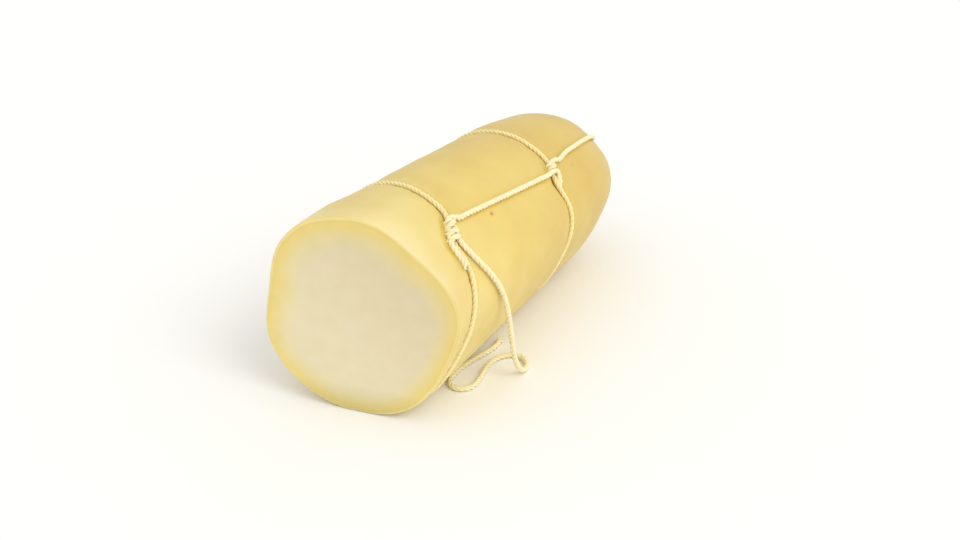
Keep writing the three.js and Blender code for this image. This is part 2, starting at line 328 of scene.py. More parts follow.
@dataclass(frozen=True)
class LogForm:
    """The log's shape, without the small marks that the twine and the hands have left in it.

    Attributes:
        radius: The mean radius behind the cut face.
        length: From the cut face to the far end's tip.
        dome_length: How much of that is the rounded far end.
        dome_power: 2 makes the far end an ellipsoid, and more makes it blunter.
        taper: The share of the radius that is lost along the length.
        bow: How far the axis has drifted sideways at the far end.
        cut_slope: The askew cut's rise along the log for each millimetre to +X and up.
        pressed_flat: How much of the underside the log's own weight has flattened.
        hollow_spread: How many degrees a hollow spreads to either side.
        waist_depth: The depth of the skin's soft dip towards each girth.
        waist_reach: How far that dip spreads along the log.
        sunk: How far the middle of a girth's twine lies below the skin.
        floor_clearance: How far a girth stays inside the flattened underside.
        lobes: The waves round the section, which isn't round.
        hollows: Where the lengthwise twine has pulled the sides in.
        girths: The twine round the log.
    """

    radius: float = 52.5
    length: float = 238.0
    dome_length: float = 67.0
    dome_power: float = 2.3
    taper: float = 0.13
    bow: float = 2.0
    cut_slope: tuple[float, float] = (0.16, 0.03)
    pressed_flat: float = 0.6
    hollow_spread: float = 19.5
    waist_depth: float = 1.1
    waist_reach: float = 7.0
    sunk: float = 0.3
    floor_clearance: float = 0.2
    lobes: tuple[Lobe, ...] = (
        Lobe(2, 0.039, 71),
        Lobe(3, 0.02, 2),
        Lobe(4, 0.023, 31),
        Lobe(5, 0.01, 1),
        Lobe(6, 0.006, 15),
    )
    hollows: tuple[Hollow, ...] = (Hollow(48, 0.04), Hollow(228, 0.023))
    girths: tuple[GirthLine, ...] = (FRONT_LINE, REAR_LINE)

    @property
    def dome_start(self) -> float:
        """Where the rounded far end begins."""
        return self.length - self.dome_length

    def section_share(self, angle: np.ndarray) -> np.ndarray:
        """The form of the section.

        Args:
            angle: The angles.

        Returns:
            The section's radius at each, as a share of the mean radius.
        """
        share = np.ones_like(np.asarray(angle, float))
        for lobe in self.lobes:
            share += lobe.height * np.cos(np.radians(lobe.waves * (angle - lobe.crest)))
        for hollow in self.hollows:
            share -= hollow.depth * bell(degrees_apart(angle, hollow.angle), self.hollow_spread)
        return share

    def barrel_radius(self, y: np.ndarray) -> np.ndarray:
        """The mean radius at y, without the rounding of the far end."""
        return self.radius * (1 - self.taper * y / self.length)

    def dome_along(self, y: np.ndarray) -> np.ndarray:
        """How far along the rounded far end y is, from 0 to 1."""
        return np.clip((y - self.dome_start) / self.dome_length, 0, 1)

    def dome_share(self, y: np.ndarray) -> np.ndarray:
        """How much of the barrel's radius the rounded far end keeps at y."""
        return (1 - self.dome_along(y) ** self.dome_power) ** (1 / self.dome_power)

    def axis(self, y: np.ndarray) -> np.ndarray:
        """The log's axis at y: it drifts sideways, and its height keeps the underside down."""
        height = self.barrel_radius(y) * self.section_share(np.array(UNDERSIDE)) - self.pressed_flat
        return np.stack([self.bow * (y / self.length) ** 2, y, height], axis=-1)

    def bare_radius(self, angle: np.ndarray, y: np.ndarray) -> np.ndarray:
        """The skin's distance from the axis, without waists and the flat underside."""
        return self.barrel_radius(y) * self.dome_share(y) * self.section_share(angle)

    def girth_y(self, line: GirthLine, angle: np.ndarray) -> np.ndarray:
        """Where a girth crosses each angle.

        Args:
            line: The girth.
            angle: The angles.

        Returns:
            The places along the log.
        """
        turn = np.radians(angle)
        reach = degrees_apart(angle, line.knot) / line.swing_spread
        swing = line.swing * reach * np.exp(0.5 - 0.5 * reach * reach)
        slope = line.slope_x * np.cos(turn) + line.slope_z * np.sin(turn)
        y = np.full_like(np.asarray(angle, float), line.at)
        for _ in range(GIRTH_PASSES):
            y = line.at + self.bare_radius(angle, y) * slope
        return y + swing

    def girth_slant(self, line: GirthLine, angle: np.ndarray) -> np.ndarray:
        """How much longer a girth's groove is along the log than across the twine."""
        rise = self.girth_y(line, angle + 1) - self.girth_y(line, angle - 1)
        arc = np.radians(2) * self.bare_radius(angle, np.array(line.at))
        return np.hypot(1, rise / arc)

    def skin_radius(self, angle: np.ndarray, y: np.ndarray) -> np.ndarray:
        """The skin's distance from the axis, with the soft waist at each girth.

        Args:
            angle: The points' angles.
            y: Their places along the log.

        Returns:
            The distances.
        """
        distance = self.bare_radius(angle, y)
        for line in self.girths:
            distance = distance - self.waist_depth * bell(y - self.girth_y(line, angle), self.waist_reach)
        return np.maximum(distance, 0)

    def skin_point(self, angle: np.ndarray, y: np.ndarray) -> np.ndarray:
        """A point of the skin: what would reach below the surface is pressed flat on it."""
        point = self.axis(y) + radial(angle) * self.skin_radius(angle, y)[..., None]
        point[..., 2] = np.maximum(point[..., 2], 0)
        return point

    def outward(self, angle: np.ndarray, y: np.ndarray) -> np.ndarray:
        """The direction straight out of the skin.

        Args:
            angle: The points' angles.
            y: Their places along the log.

        Returns:
            One direction for each point.
        """
        power = self.dome_power - 1
        out = self.dome_share(y) ** power / self.barrel_radius(y)
        end = self.dome_along(y) ** power / self.dome_length
        return unit(radial(angle) * out[..., None] + ALONG * end[..., None])

    def lifted(self, angle: np.ndarray, y: np.ndarray, lift: np.ndarray) -> np.ndarray:
        """A point at a height over the skin, before the underside is pressed flat."""
        skin = self.axis(y) + radial(angle) * self.skin_radius(angle, y)[..., None]
        return skin + self.outward(angle, y) * np.asarray(lift)[..., None]

    def girth_distance(self, line: GirthLine, angle: np.ndarray) -> np.ndarray:
        """The middle of a girth's twine, kept clear of what the log lies on.

        Args:
            line: The girth.
            angle: The angles.

        Returns:
            Its distance from the axis at each.
        """
        y = self.girth_y(line, angle)
        distance = self.skin_radius(angle, y) - self.sunk
        lowest = TWINE_DIAMETER / 2 + self.floor_clearance - self.axis(y)[..., 2]
        down = np.sin(np.radians(angle)) * distance
        scale = np.where(down < lowest, lowest / np.where(down < lowest, down, 1), 1)
        return distance * scale

    def girth_sunk(self, line: GirthLine, angle: np.ndarray) -> np.ndarray:
        """How far the middle of a girth's twine lies below the skin."""
        y = self.girth_y(line, angle)
        skin = np.linalg.norm(self.skin_point(angle, y) - self.axis(y), axis=-1)
        return skin - self.girth_distance(line, angle)

    def girth_points(self, line: GirthLine, angle: np.ndarray) -> np.ndarray:
        """The middle of a girth's twine at each angle."""
        y = self.girth_y(line, angle)
        return self.axis(y) + radial(angle) * self.girth_distance(line, angle)[..., None]


@dataclass(frozen=True)
class KnotPlace:
    """A spot on a girth where twine is knotted.

    Attributes:
        form: The log.
        line: The girth.
        angle: The knot's angle.
    """

    form: LogForm
    line: GirthLine
    angle: float

    def points(self, local: Sequence[LocalPoint]) -> np.ndarray:
        """Points near the knot.

        Args:
            local: How far round the girth towards smaller angles, how far along the log and how
                high over the skin each point is.

        Returns:
            The points in the log's own frame.
        """
        round_log, along, lift = np.array(local, float).T
        middle = np.array(self.angle)
        size = float(self.form.skin_radius(middle, self.form.girth_y(self.line, middle)))
        angle = self.angle - np.degrees(round_log / size)
        y = self.form.girth_y(self.line, angle) + along
        return self.form.lifted(angle, y, lift)


# ---- Lines that twine follows ----


SPAN_STEPS = 12  # straight steps between two points that a line passes through, before it is evened
STEEP = 0.9  # how much of its direction points up where a line is steep


def smooth_line(points: np.ndarray, step: float, closed: bool = False) -> np.ndarray:
    """A smooth line through points, with its own points evenly spaced.

    Args:
        points: What it passes through.
        step: About how far apart its points are.
        closed: Whether it comes back to its start.

    Returns:
        The line's points. A closed line doesn't repeat its first one.
    """
    if closed:
        held = np.concatenate([points[-1:], points, points[:2]])
    else:
        held = np.concatenate([2 * points[:1] - points[1:2], points, 2 * points[-1:] - points[-2:-1]])
    steps = np.diff(held, axis=0)
    spans = np.sqrt(np.linalg.norm(steps, axis=1))[:, None]
    speeds = steps / spans
    slopes = (speeds[:-1] * spans[1:] + speeds[1:] * spans[:-1]) / (spans[:-1] + spans[1:])
    leave = slopes[:-1] * spans[1:-1]
    arrive = slopes[1:] * spans[1:-1]
    at = np.linspace(0, 1, SPAN_STEPS, endpoint=False)[:, None, None]
    curve = (
        (2 * at**3 - 3 * at**2 + 1) * held[1:-2]
        + (at**3 - 2 * at**2 + at) * leave
        + (3 * at**2 - 2 * at**3) * held[2:-1]
        + (at**3 - at**2) * arrive
    )
    curve = curve.transpose(1, 0, 2).reshape(-1, 3)
    line = np.concatenate([curve, points[:1] if closed else points[-1:]])
    along = lengths_along(line)
    count = max(int(round(along[-1] / step)), 2)
    places = np.linspace(0, along[-1], count + 1)
    even = np.stack([np.interp(places, along, line[:, axis]) for axis in range(3)], axis=1)
    return even[:-1] if closed else even


def directions(line: np.ndarray, closed: bool) -> np.ndarray:
    """The line's direction at each of its points."""
    if closed:
        return unit(np.roll(line, -1, axis=0) - np.roll(line, 1, axis=0))
    return unit(np.gradient(line, axis=0))


def lengths_along(line: np.ndarray) -> np.ndarray:
    """How far along the line each of its points is."""
    return np.concatenate([[0], np.cumsum(np.linalg.norm(np.diff(line, axis=0), axis=1))])


def carried_normals(tangents: np.ndarray) -> np.ndarray:
    """Directions across a line that never spin about it.

    Args:
        tangents: The line's direction at each of its points.

    Returns:
        One direction for each point.
    """
    normals = np.empty_like(tangents)
    normal = UP if abs(tangents[0] @ UP) < STEEP else ALONG
    for place, tangent in enumerate(tangents):
        normal = unit(normal - tangent * (normal @ tangent))
        normals[place] = normal
    return normals


def tube(
    line: np.ndarray, radii: np.ndarray, across: np.ndarray, sides: int, closed: bool = False
) -> MeshParts:
    """A tube of fibres round a line.

    Args:
        line: Its middle.
        radii: Its radius at each of the line's points.
        across: A direction across the line at each point, where the first side is.
        sides: How many sides it has.
        closed: Whether it comes back to its start.

    Returns:
        The tube. At each point "fibre" says where it is across and along the tube.
    """
    ahead = directions(line, closed)
    first = unit(across - ahead * np.sum(across * ahead, axis=1, keepdims=True))
    second = np.cross(ahead, first)
    turn = np.linspace(0, 2 * np.pi, sides, endpoint=False)[None, :, None]
    around = np.cos(turn) * first[:, None] + np.sin(turn) * second[:, None]
    points = line[:, None] + around * radii[:, None, None]
    turn = turn[..., 0]
    fibre = np.stack(
        np.broadcast_arrays(np.cos(turn), np.sin(turn), lengths_along(line)[:, None]), axis=-1
    )
    rings = np.arange(len(line))
    if not closed:
        rings = rings[:-1]
    ring, side = np.meshgrid(rings, np.arange(sides), indexing="ij")
    next_ring = (ring + 1) % len(line)
    next_side = (side + 1) % sides
    corners = [(ring, side), (ring, next_side), (next_ring, next_side), (next_ring, side)]
    walls = np.stack([a * sides + b for a, b in corners], axis=-1).reshape(-1, 4)
    faces = [walls]
    if not closed:
        cap = np.arange(sides)[None]
        faces += [cap[:, ::-1], cap + (len(line) - 1) * sides]
    return MeshParts(points.reshape(-1, 3), faces, {"fibre": fibre.reshape(-1, 3)})


# ---- The twine ----


class Ending(Enum):
    """How a length of twine ends."""

    JOINED = "it comes back to its own start"
    TUCKED = "both ends are pressed in under other turns"
    CUT = "its last end is cut and shows"


@dataclass(frozen=True)
class Fray:
    """How a cut end of twine comes apart: the plies open a little and loose fibres stick out.

    Attributes:
        flare: How much wider the plies stand at the very end.
        reach: The length over which they open.
        narrower: The share of its thickness that a ply loses at the very end.
        narrow_reach: The length over which it loses that.
        hairs: How many loose fibres stick out of each ply.
        hair_points: How many points a fibre's line has.
        hair_sides: How many sides a fibre has.
        hair_radii: A fibre's radius at its root and at its tip, several real fibres in one.
        hair_lengths: The shortest and the longest fibre.
        hair_spreads: How far fibres lean out, least and most, as a share of their length.
        root_depth: How far inside the end a fibre starts.
        root_places: How far from the ply's middle fibres start, least and most, as shares of its radius.
        end_points: How many of a ply's last points tell which way it ends.
        clear: How far fibres stay above the surface that the log lies on.
    """

    flare: float = 0.75
    reach: float = 4.0
    narrower: float = 0.35
    narrow_reach: float = 1.2
    hairs: int = 9
    hair_points: int = 5
    hair_sides: int = 4
    hair_radii: tuple[float, float] = (0.1, 0.05)
    hair_lengths: tuple[float, float] = (1.0, 2.2)
    hair_spreads: tuple[float, float] = (0.15, 0.6)
    root_depth: float = 0.8
    root_places: tuple[float, float] = (0.2, 0.85)
    end_points: int = 4
    clear: float = 0.12

    def fibres(self, ply: np.ndarray, radius: float, draw: np.random.Generator) -> list[MeshParts]:
        """The fibres that stick out of a ply's cut end.

        Args:
            ply: The ply's middle.
            radius: Its radius at the end.
            draw: Where their lengths and directions are drawn from.

        Returns:
            One thin tube for each fibre.
        """
        end = ply[-1]
        ahead = unit(end - ply[-self.end_points])
        at = np.linspace(0, 1, self.hair_points)[:, None]
        made = []
        for _ in range(self.hairs):
            aside = draw.normal(size=3)
            aside = unit(aside - ahead * (aside @ ahead))
            length = draw.uniform(*self.hair_lengths)
            spread = draw.uniform(*self.hair_spreads)
            root = end - ahead * self.root_depth + aside * radius * draw.uniform(*self.root_places)
            line = root + ahead * at * length + aside * at**2 * length * spread
            line[:, 2] = np.maximum(line[:, 2], self.clear)
            radii = np.linspace(*self.hair_radii, self.hair_points)
            made.append(tube(line, radii, np.tile(aside, (self.hair_points, 1)), self.hair_sides))
        return made


@dataclass(frozen=True)
class Twine:
    """Cotton plies laid up round each other.

    Attributes:
        plies: How many there are.
        ply_radius: A ply's radius.
        ply_offset: How far a ply's middle is from the twine's.
        lay: The length in which a ply goes round once.
        slubs: How much a ply's thickness varies, as a share of it.
        slub_lengths: The shortest and the longest of its thicker and thinner stretches.
        sides: How many sides a ply has.
        step: The spacing of the rings of points.
        fibre_shift: How far on each ply starts in the pattern of fibres, so that no two are alike.
        fray: What its cut ends look like.
        clear: How far the plies stay above the surface that the log lies on.
    """

    plies: int = 3
    ply_radius: float = 0.83
    ply_offset: float = 0.68
    lay: float = 8.5
    slubs: float = 0.05
    slub_lengths: tuple[float, float] = (4.0, 30.0)
    sides: int = 8
    step: float = 0.62
    fibre_shift: float = 400.0
    fray: Fray = Fray()
    clear: float = 0.05

    def laid(self, line: np.ndarray, ending: Ending, seed: int) -> MeshParts:
        """The twine along a line.

        Args:
            line: Its middle, evenly spaced.
            ending: How it ends.
            seed: What its small irregularities are drawn from.

        Returns:
            The plies, and the loose fibres of a cut end.
        """
        closed = ending is Ending.JOINED
        ahead = directions(line, closed)
        normals = carried_normals(ahead)
        sideways = np.cross(ahead, normals)
        reached = lengths_along(np.concatenate([line, line[:1]]))
        along, total = reached[:-1], reached[-1]
        turning = 2 * np.pi * along / self.lay
        if closed:
            home = unit(normals[-1] - ahead[0] * (normals[-1] @ ahead[0]))
            spin = math.atan2(home @ sideways[0], home @ normals[0])
            turning = (2 * np.pi * round(total / self.lay) - spin) * along / total
        draw = np.random.default_rng(seed)
        opened = np.zeros(len(line))
        if ending is Ending.CUT:
            opened = ease(along, along[-1] - self.fray.reach, along[-1]) * self.fray.flare
        parts = []
        for ply in range(self.plies):
            turn = (turning + 2 * np.pi * ply / self.plies)[:, None]
            out = np.cos(turn) * normals + np.sin(turn) * sideways
            middle = line + out * (self.ply_offset + opened)[:, None]
            shortest, longest = self.slub_lengths
            slub = Unevenness(int(draw.integers(1 << 30)), shortest, longest, self.slubs).at(middle)
            radii = self.ply_radius * (1 + slub)
            if ending is Ending.CUT:
                end = ease(along, along[-1] - self.fray.narrow_reach, along[-1])
                radii = radii * (1 - self.fray.narrower * end)
            middle[:, 2] = np.maximum(middle[:, 2], radii + self.clear)
            strand = tube(middle, radii, out, self.sides, closed)
            strand.known["fibre"][:, 2] += self.fibre_shift * ply
            parts.append(strand)
            if ending is Ending.CUT:
                parts += self.fray.fibres(middle, radii[-1], draw)
        return MeshParts.joined(parts)

    def piece(
        self, name: str, cotton: bpy.types.Material, line: np.ndarray, ending: Ending, seed: int
    ) -> bpy.types.Object:
        """Makes a piece of the twine.

        Args:
            name: The piece's name.
            cotton: Its material.
            line: Its middle, evenly spaced.
            ending: How it ends.
            seed: What its small irregularities are drawn from.

        Returns:
            The piece.
        """
        return self.laid(line, ending, seed).piece(name, [cotton], "twine")


@dataclass(frozen=True)
class TwistedCotton:
    """Unbleached cotton, spun and laid up: matt, with fine lengthwise fibres that catch the light.

    Attributes:
        name: The material's name.
        bright: The colour of the fibres that catch the light.
        shaded: The colour of those between them.
        roughness: How much it spreads a reflection.
        fibre_width: The pattern's width in millimetres. It is coarser than real, several fibres at
            once, because one alone is too fine to show.
        fibre_length: The pattern's length along the twine, in millimetres.
    """

    name: str = "laid_cotton_twine"
    bright: str = "#FEF3C8"
    shaded: str = "#F4E2AE"
    roughness: float = 0.88
    fibre_width: float = 0.16
    fibre_length: float = 5.0

    def material(self) -> bpy.types.Material:
        """The finish as a material."""
        material, tree, output = new_material(self.name)
        fibre = add_node(tree, "ShaderNodeAttribute", attribute_name="fibre")
        across = 1 / self.fibre_width
        stretched = add_node(
            tree,
            "ShaderNodeVectorMath",
            {0: fibre.outputs["Vector"], 1: (across, across, 1 / self.fibre_length)},
            operation="MULTIPLY",
        )
        streaks = add_node(
            tree, "ShaderNodeTexNoise", {"Vector": stretched.outputs[0], "Scale": 0.8, "Detail": 3.0}
        )
        tint = add_node(
            tree,
            "ShaderNodeValToRGB",
            {"Fac": streaks.outputs["Fac"]},
            stops=[(0.32, self.shaded), (0.62, self.bright)],
        )
        bump = add_node(
            tree,
            "ShaderNodeBump",
            {"Height": streaks.outputs["Fac"], "Strength": 0.55, "Distance": 0.1 * MM},
        )
        cotton = add_node(
            tree,
            "ShaderNodeBsdfPrincipled",
            {
                "Base Color": tint.outputs["Color"],
                "Roughness": self.roughness,
                "IOR": 1.53,
                "Specular IOR Level": 0.25,
                "Sheen Weight": 0.35,
                "Sheen Roughness": 0.5,
                "Subsurface Weight": 0.25,
                "Subsurface Radius": (1.0, 0.8, 0.5),
                "Subsurface Scale": 0.6 * MM,
                "Normal": bump.outputs["Normal"],
            },
        )
        tree.links.new(cotton.outputs["BSDF"], output.inputs["Surface"])
        return material


@dataclass(frozen=True)
class LooseTail:
    """The loose end of the twine: off the front knot, down the flank and along the surface.

    Attributes:
        twine: What it is made of.
        length: Its length in metres. It is not used.
        diameter: Its diameter in metres. It is not used.
        route: The points that it follows, in the row frame, in metres.
    """

    twine: Twine
    length: float = 0.2256
    diameter: float = 0.003
    route: tuple[tuple[float, float, float], ...] = (
        (0.0343, -0.0802, 0.0883),
        (0.0365, -0.0805, 0.0864),
        (0.0391, -0.0804, 0.0841),
        (0.0419, -0.08, 0.0815),
        (0.045, -0.079, 0.0782),
        (0.048, -0.0771, 0.074),
        (0.0503, -0.0743, 0.0687),
        (0.0516, -0.0709, 0.0627),
        (0.0517, -0.0673, 0.0564),
        (0.0518, -0.0643, 0.05),
        (0.0519, -0.0617, 0.042),
        (0.052, -0.0594, 0.0325),
        (0.0522, -0.0574, 0.0225),
        (0.0526, -0.0552, 0.013),
        (0.0536, -0.052, 0.0056),
        (0.0541, -0.0469, 0.0021),
        (0.0525, -0.0407, 0.0016),
        (0.0478, -0.0363, 0.0016),
        (0.0419, -0.0363, 0.0016),
        (0.0373, -0.0405, 0.0016),
        (0.0351, -0.0471, 0.0016),
        (0.0355, -0.0545, 0.0016),
        (0.0371, -0.0625, 0.0016),
        (0.0378, -0.0693, 0.0016),
        (0.0371, -0.0741, 0.0016),
        (0.0345, -0.0773, 0.0016),
        (0.0309, -0.0785, 0.0016),
        (0.0274, -0.0773, 0.0016),
        (0.0249, -0.0739, 0.0016),
        (0.0237, -0.0691, 0.0016),
        (0.0235, -0.0639, 0.0016),
        (0.0243, -0.0563, 0.0016),
        (0.0261, -0.0485, 0.0016),
        (0.0281, -0.0409, 0.0016),
        (0.0293, -0.0333, 0.0016),
        (0.0287, -0.0257, 0.0016),
    )

    def build(self, cotton: bpy.types.Material) -> bpy.types.Object:
        """Args:
            cotton: Its material.

        Returns:
            The tail.
        """
        line = smooth_line(np.array(self.route) / MM + ORIGIN, self.twine.step)
        tail = self.twine.piece("twine_loose_tail", cotton, line, Ending.CUT, seed=41)
        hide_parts("twine_tail")
        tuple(self.route[0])
        return tail


@dataclass(frozen=True)
class Girth:
    """A closed turn of twine, pressed into the skin all the way round.

    Attributes:
        form: The log.
        twine: What it is made of.
        line: Where it lies.
        node: The solid that it stands for, and its own name.
        seed: What its small irregularities are drawn from.
        angle_step: The degrees between the points that it is laid through.
    """

    form: LogForm
    twine: Twine
    line: GirthLine
    node: str
    seed: int
    angle_step: float = 2.0

    def build(self, cotton: bpy.types.Material) -> bpy.types.Object:
        """Makes the girth.

        Args:
            cotton: Its material.

        Returns:
            The girth.
        """
        middle = self.form.girth_points(self.line, np.arange(0, 360, self.angle_step))
        line = smooth_line(middle, self.twine.step, closed=True)
        girth = self.twine.piece(f"{self.node}_ring", cotton, line, Ending.JOINED, self.seed)
        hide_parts(self.node)
        return girth


@dataclass(frozen=True)
class Turns:
    """Turns of twine wound tightly round a girth, as points near the knot.

    Attributes:
        start: Where round the girth they begin.
        pitch: How far each turn moves on round the girth.
        count: How many turns there are.
        phase: Where in a turn they begin: 0 is on top and a quarter is on the far side.
        radius: The radius of the turns across the girth.
        height: The height of their middle over the skin.
        skew: How the turns drift along the log as they go round the girth.
        side: 1 where they first go to the girth's far side, -1 where they go to the cut's side.
        steps: How many points a turn has.
    """

    start: float
    pitch: float
    count: float
    phase: float
    radius: float = 2.7
    height: float = -0.3
    skew: float = 0.0
    side: int = 1
    steps: int = 8

    def points(self) -> list[LocalPoint]:
        """The turns as points near the knot.

        Returns:
            For each, how far it is round the girth, along the log and over the skin.
        """
        made = []
        for step in range(int(round(self.count * self.steps)) + 1):
            turn = 2 * math.pi * (self.phase + step / self.steps)
            moved = self.pitch * step / self.steps
            along = self.side * self.radius * math.sin(turn) + self.skew * moved
            made.append((self.start + moved, along, self.height + self.radius * math.cos(turn)))
        return made


@dataclass(frozen=True)
class LengthwiseTwine:
    """The twine along the log: between the two knots, over the far end and back underneath.

    Its leads and its tuck are points near a knot: round the girth, along the log, over the skin.

    Attributes:
        form: The log.
        twine: What it is made of.
        lift: The height of its middle over the skin, which it has dented.
        spacing: How far apart the points are that it is laid through.
        dome_lead: How far before the far end's rounding its first straight stretch ends.
        dome_points: How many points it is laid through over the far end.
        top_angles: The angles of the top run's two ends.
        top_reach: Where the top run's two ends are along the log.
        back_angle: The angle of the back run's start by the rear knot.
        back_start: Where that is along the log.
        over_angle: The angle at which it goes over the far end.
        under_angle: The angle at which it comes back underneath.
        under_end: How far behind the front girth it ends.
        front_knot: The front knot's angle.
        rear_knot: The rear knot's angle.
        front_turns: The top run's turns round the front girth.
        front_lead: What it passes through on its way out of them.
        rear_turns: The back run's turns round the rear girth.
        rear_lead: What it passes through on its way out of them.
        under_lead: What it passes through on its way to its last turns.
        under_turns: Its last turns, round the front girth underneath.
        rear_tuck: How the top run ends, tucked down along the rear girth.
    """

    form: LogForm
    twine: Twine
    lift: float = 1.2
    spacing: float = 6.0
    dome_lead: float = 4.0
    dome_points: int = 31
    top_angles: tuple[float, float] = (55.2, 45.2)
    top_reach: tuple[float, float] = (47.5, 135.5)
    back_angle: float = 49.6
    back_start: float = 154.0
    over_angle: float = 51.2
    under_angle: float = 231.2
    under_end: float = 6.0
    front_knot: float = 55.0
    rear_knot: float = 48.5
    front_turns: Turns = Turns(start=-2.4, pitch=2.6, count=1.9, phase=0.02, radius=2.9, side=-1)
    front_lead: LocalPoint = (-1.4, 3.4, 2.4)
    rear_turns: Turns = Turns(start=1.5, pitch=-2.4, count=1.5, phase=0.5, radius=2.6)
    rear_lead: LocalPoint = (-1.7, 4.8, 2.1)
    under_lead: LocalPoint = (-1.6, 3.2, 2.3)
    under_turns: Turns = Turns(start=-2.0, pitch=2.8, count=1.6, phase=0.02, side=-1)
    rear_tuck: tuple[LocalPoint, ...] = (
        (2.6, -3.6, 2.3),
        (3.0, -0.6, 2.75),
        (4.4, 1.9, 2.0),
        (7.0, 2.5, 1.15),
        (9.6, 1.7, 0.3),
        (11.8, 0.5, -1.0),
    )

    def over_skin(self, angle: np.ndarray, y: np.ndarray) -> np.ndarray:
        """Points of the run, which bridges the soft dips beside the girths.

        Args:
            angle: The points' angles.
            y: Their places along the log.

        Returns:
            The points.
        """
        rise = sum(
            self.form.waist_depth * bell(y - self.form.girth_y(line, angle), self.form.waist_reach)
            for line in self.form.girths
        )
        return self.form.lifted(angle, y, self.lift + rise)

    def top_angle(self, y: np.ndarray) -> np.ndarray:
        """The angle of the run between the two knots, at y along the log."""
        start, end = self.top_reach
        return self.top_angles[0] + (self.top_angles[1] - self.top_angles[0]) * (y - start) / (end - start)

    def top_line(self) -> np.ndarray:
        """The run between the two knots, with its turns in both of them.

        Returns:
            The line's points.
        """
        front = KnotPlace(self.form, FRONT_LINE, self.front_knot)
        rear = KnotPlace(self.form, REAR_LINE, self.rear_knot)
        start, end = self.top_reach
        y = np.linspace(start, end, int((end - start) / self.spacing))
        held = [
            front.points(self.front_turns.points()[::-1]),
            front.points([self.front_lead]),
            self.over_skin(self.top_angle(y), y),
            rear.points(self.rear_tuck),
        ]
        return smooth_line(np.concatenate(held), self.twine.step)

    def build_top(self, cotton: bpy.types.Material) -> bpy.types.Object:
        """Makes the run between the knots.

        Args:
            cotton: Its material.

        Returns:
            The run.
        """
        run = self.twine.piece("twine_run_top_laid", cotton, self.top_line(), Ending.TUCKED, seed=21)
        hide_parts("twine_run_top")
        return run

    def back_line(self) -> np.ndarray:
        """The run from the rear knot, over the far end and back underneath to the front girth.

        Returns:
            The line's points.
        """
        form = self.form
        rear = KnotPlace(form, REAR_LINE, self.rear_knot)
        under = KnotPlace(form, FRONT_LINE, self.under_angle)
        reach = [self.back_start, form.dome_start - self.dome_lead]
        near = np.array([reach[0], (self.back_start + form.dome_start) / 2, reach[1]])
        near_angle = np.interp(near, reach, [self.back_angle, self.over_angle])
        turn = np.linspace(0, np.pi, self.dome_points)
        over_y = form.dome_start + np.sin(turn) ** (2 / form.dome_power) * form.dome_length
        over_angle = np.where(turn <= np.pi / 2, self.over_angle, self.under_angle)
        end = float(form.girth_y(FRONT_LINE, np.array(self.under_angle))) + self.under_end
        back_y = np.linspace(form.dome_start, end, int((form.dome_start - end) / self.spacing))[1:]
        held = [
            rear.points(self.rear_turns.points()),
            rear.points([self.rear_lead]),
            self.over_skin(near_angle, near),
            self.over_skin(over_angle, over_y),
            self.over_skin(np.full_like(back_y, self.under_angle), back_y),
            under.points([self.under_lead]),
            under.points(self.under_turns.points()),
        ]
        return smooth_line(np.concatenate(held), self.twine.step)

    def build_back(self, cotton: bpy.types.Material) -> bpy.types.Object:
        """Makes the run over the far end.

        Args:
            cotton: Its material.

        Returns:
            The run.
        """
        run = self.twine.piece("twine_run_back_laid", cotton, self.back_line(), Ending.TUCKED, seed=22)
        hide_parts("twine_run_back")
        return run


@dataclass(frozen=True)
class FrontKnot:
    """The rest of the front knot: the tail's turns round the girth, and the twine's short end.

    Attributes:
        form: The log.
        twine: What it is made of.
        angle: Where on the front girth it is.
        turns: The tail's turns round the girth.
        short_end: The points of the short end, which lies beside the girth.
    """

    form: LogForm
    twine: Twine
    angle: float = 55.0
    turns: Turns = Turns(start=1.9, pitch=2.6, count=2.0, phase=0.3, radius=3.2, height=0.0, skew=-0.05)
    short_end: tuple[LocalPoint, ...] = (
        (1.2, -0.6, -0.4),
        (3.4, -2.4, 0.8),
        (6.4, -3.2, 0.5),
        (10.0, -3.3, 0.4),
        (14.0, -3.2, 0.45),
        (17.5, -3.3, 0.8),
        (20.5, -3.9, 1.3),
    )

    def build(self, cotton: bpy.types.Material) -> list[bpy.types.Object]:
        """Makes the knot's turns and the short end.

        Args:
            cotton: Their material.

        Returns:
            The turns and the short end.
        """
        place = KnotPlace(self.form, FRONT_LINE, self.angle)
        wound = smooth_line(place.points(self.turns.points()), self.twine.step)
        knot = self.twine.piece("twine_front_knot", cotton, wound, Ending.TUCKED, seed=31)
        short = smooth_line(place.points(self.short_end), self.twine.step)
        return [knot, self.twine.piece("twine_short_end", cotton, short, Ending.CUT, seed=32)]


# ---- The cheese ----


UNCHANGED = "#FFFFFF"  # what a colour is multiplied by where it stays as it is


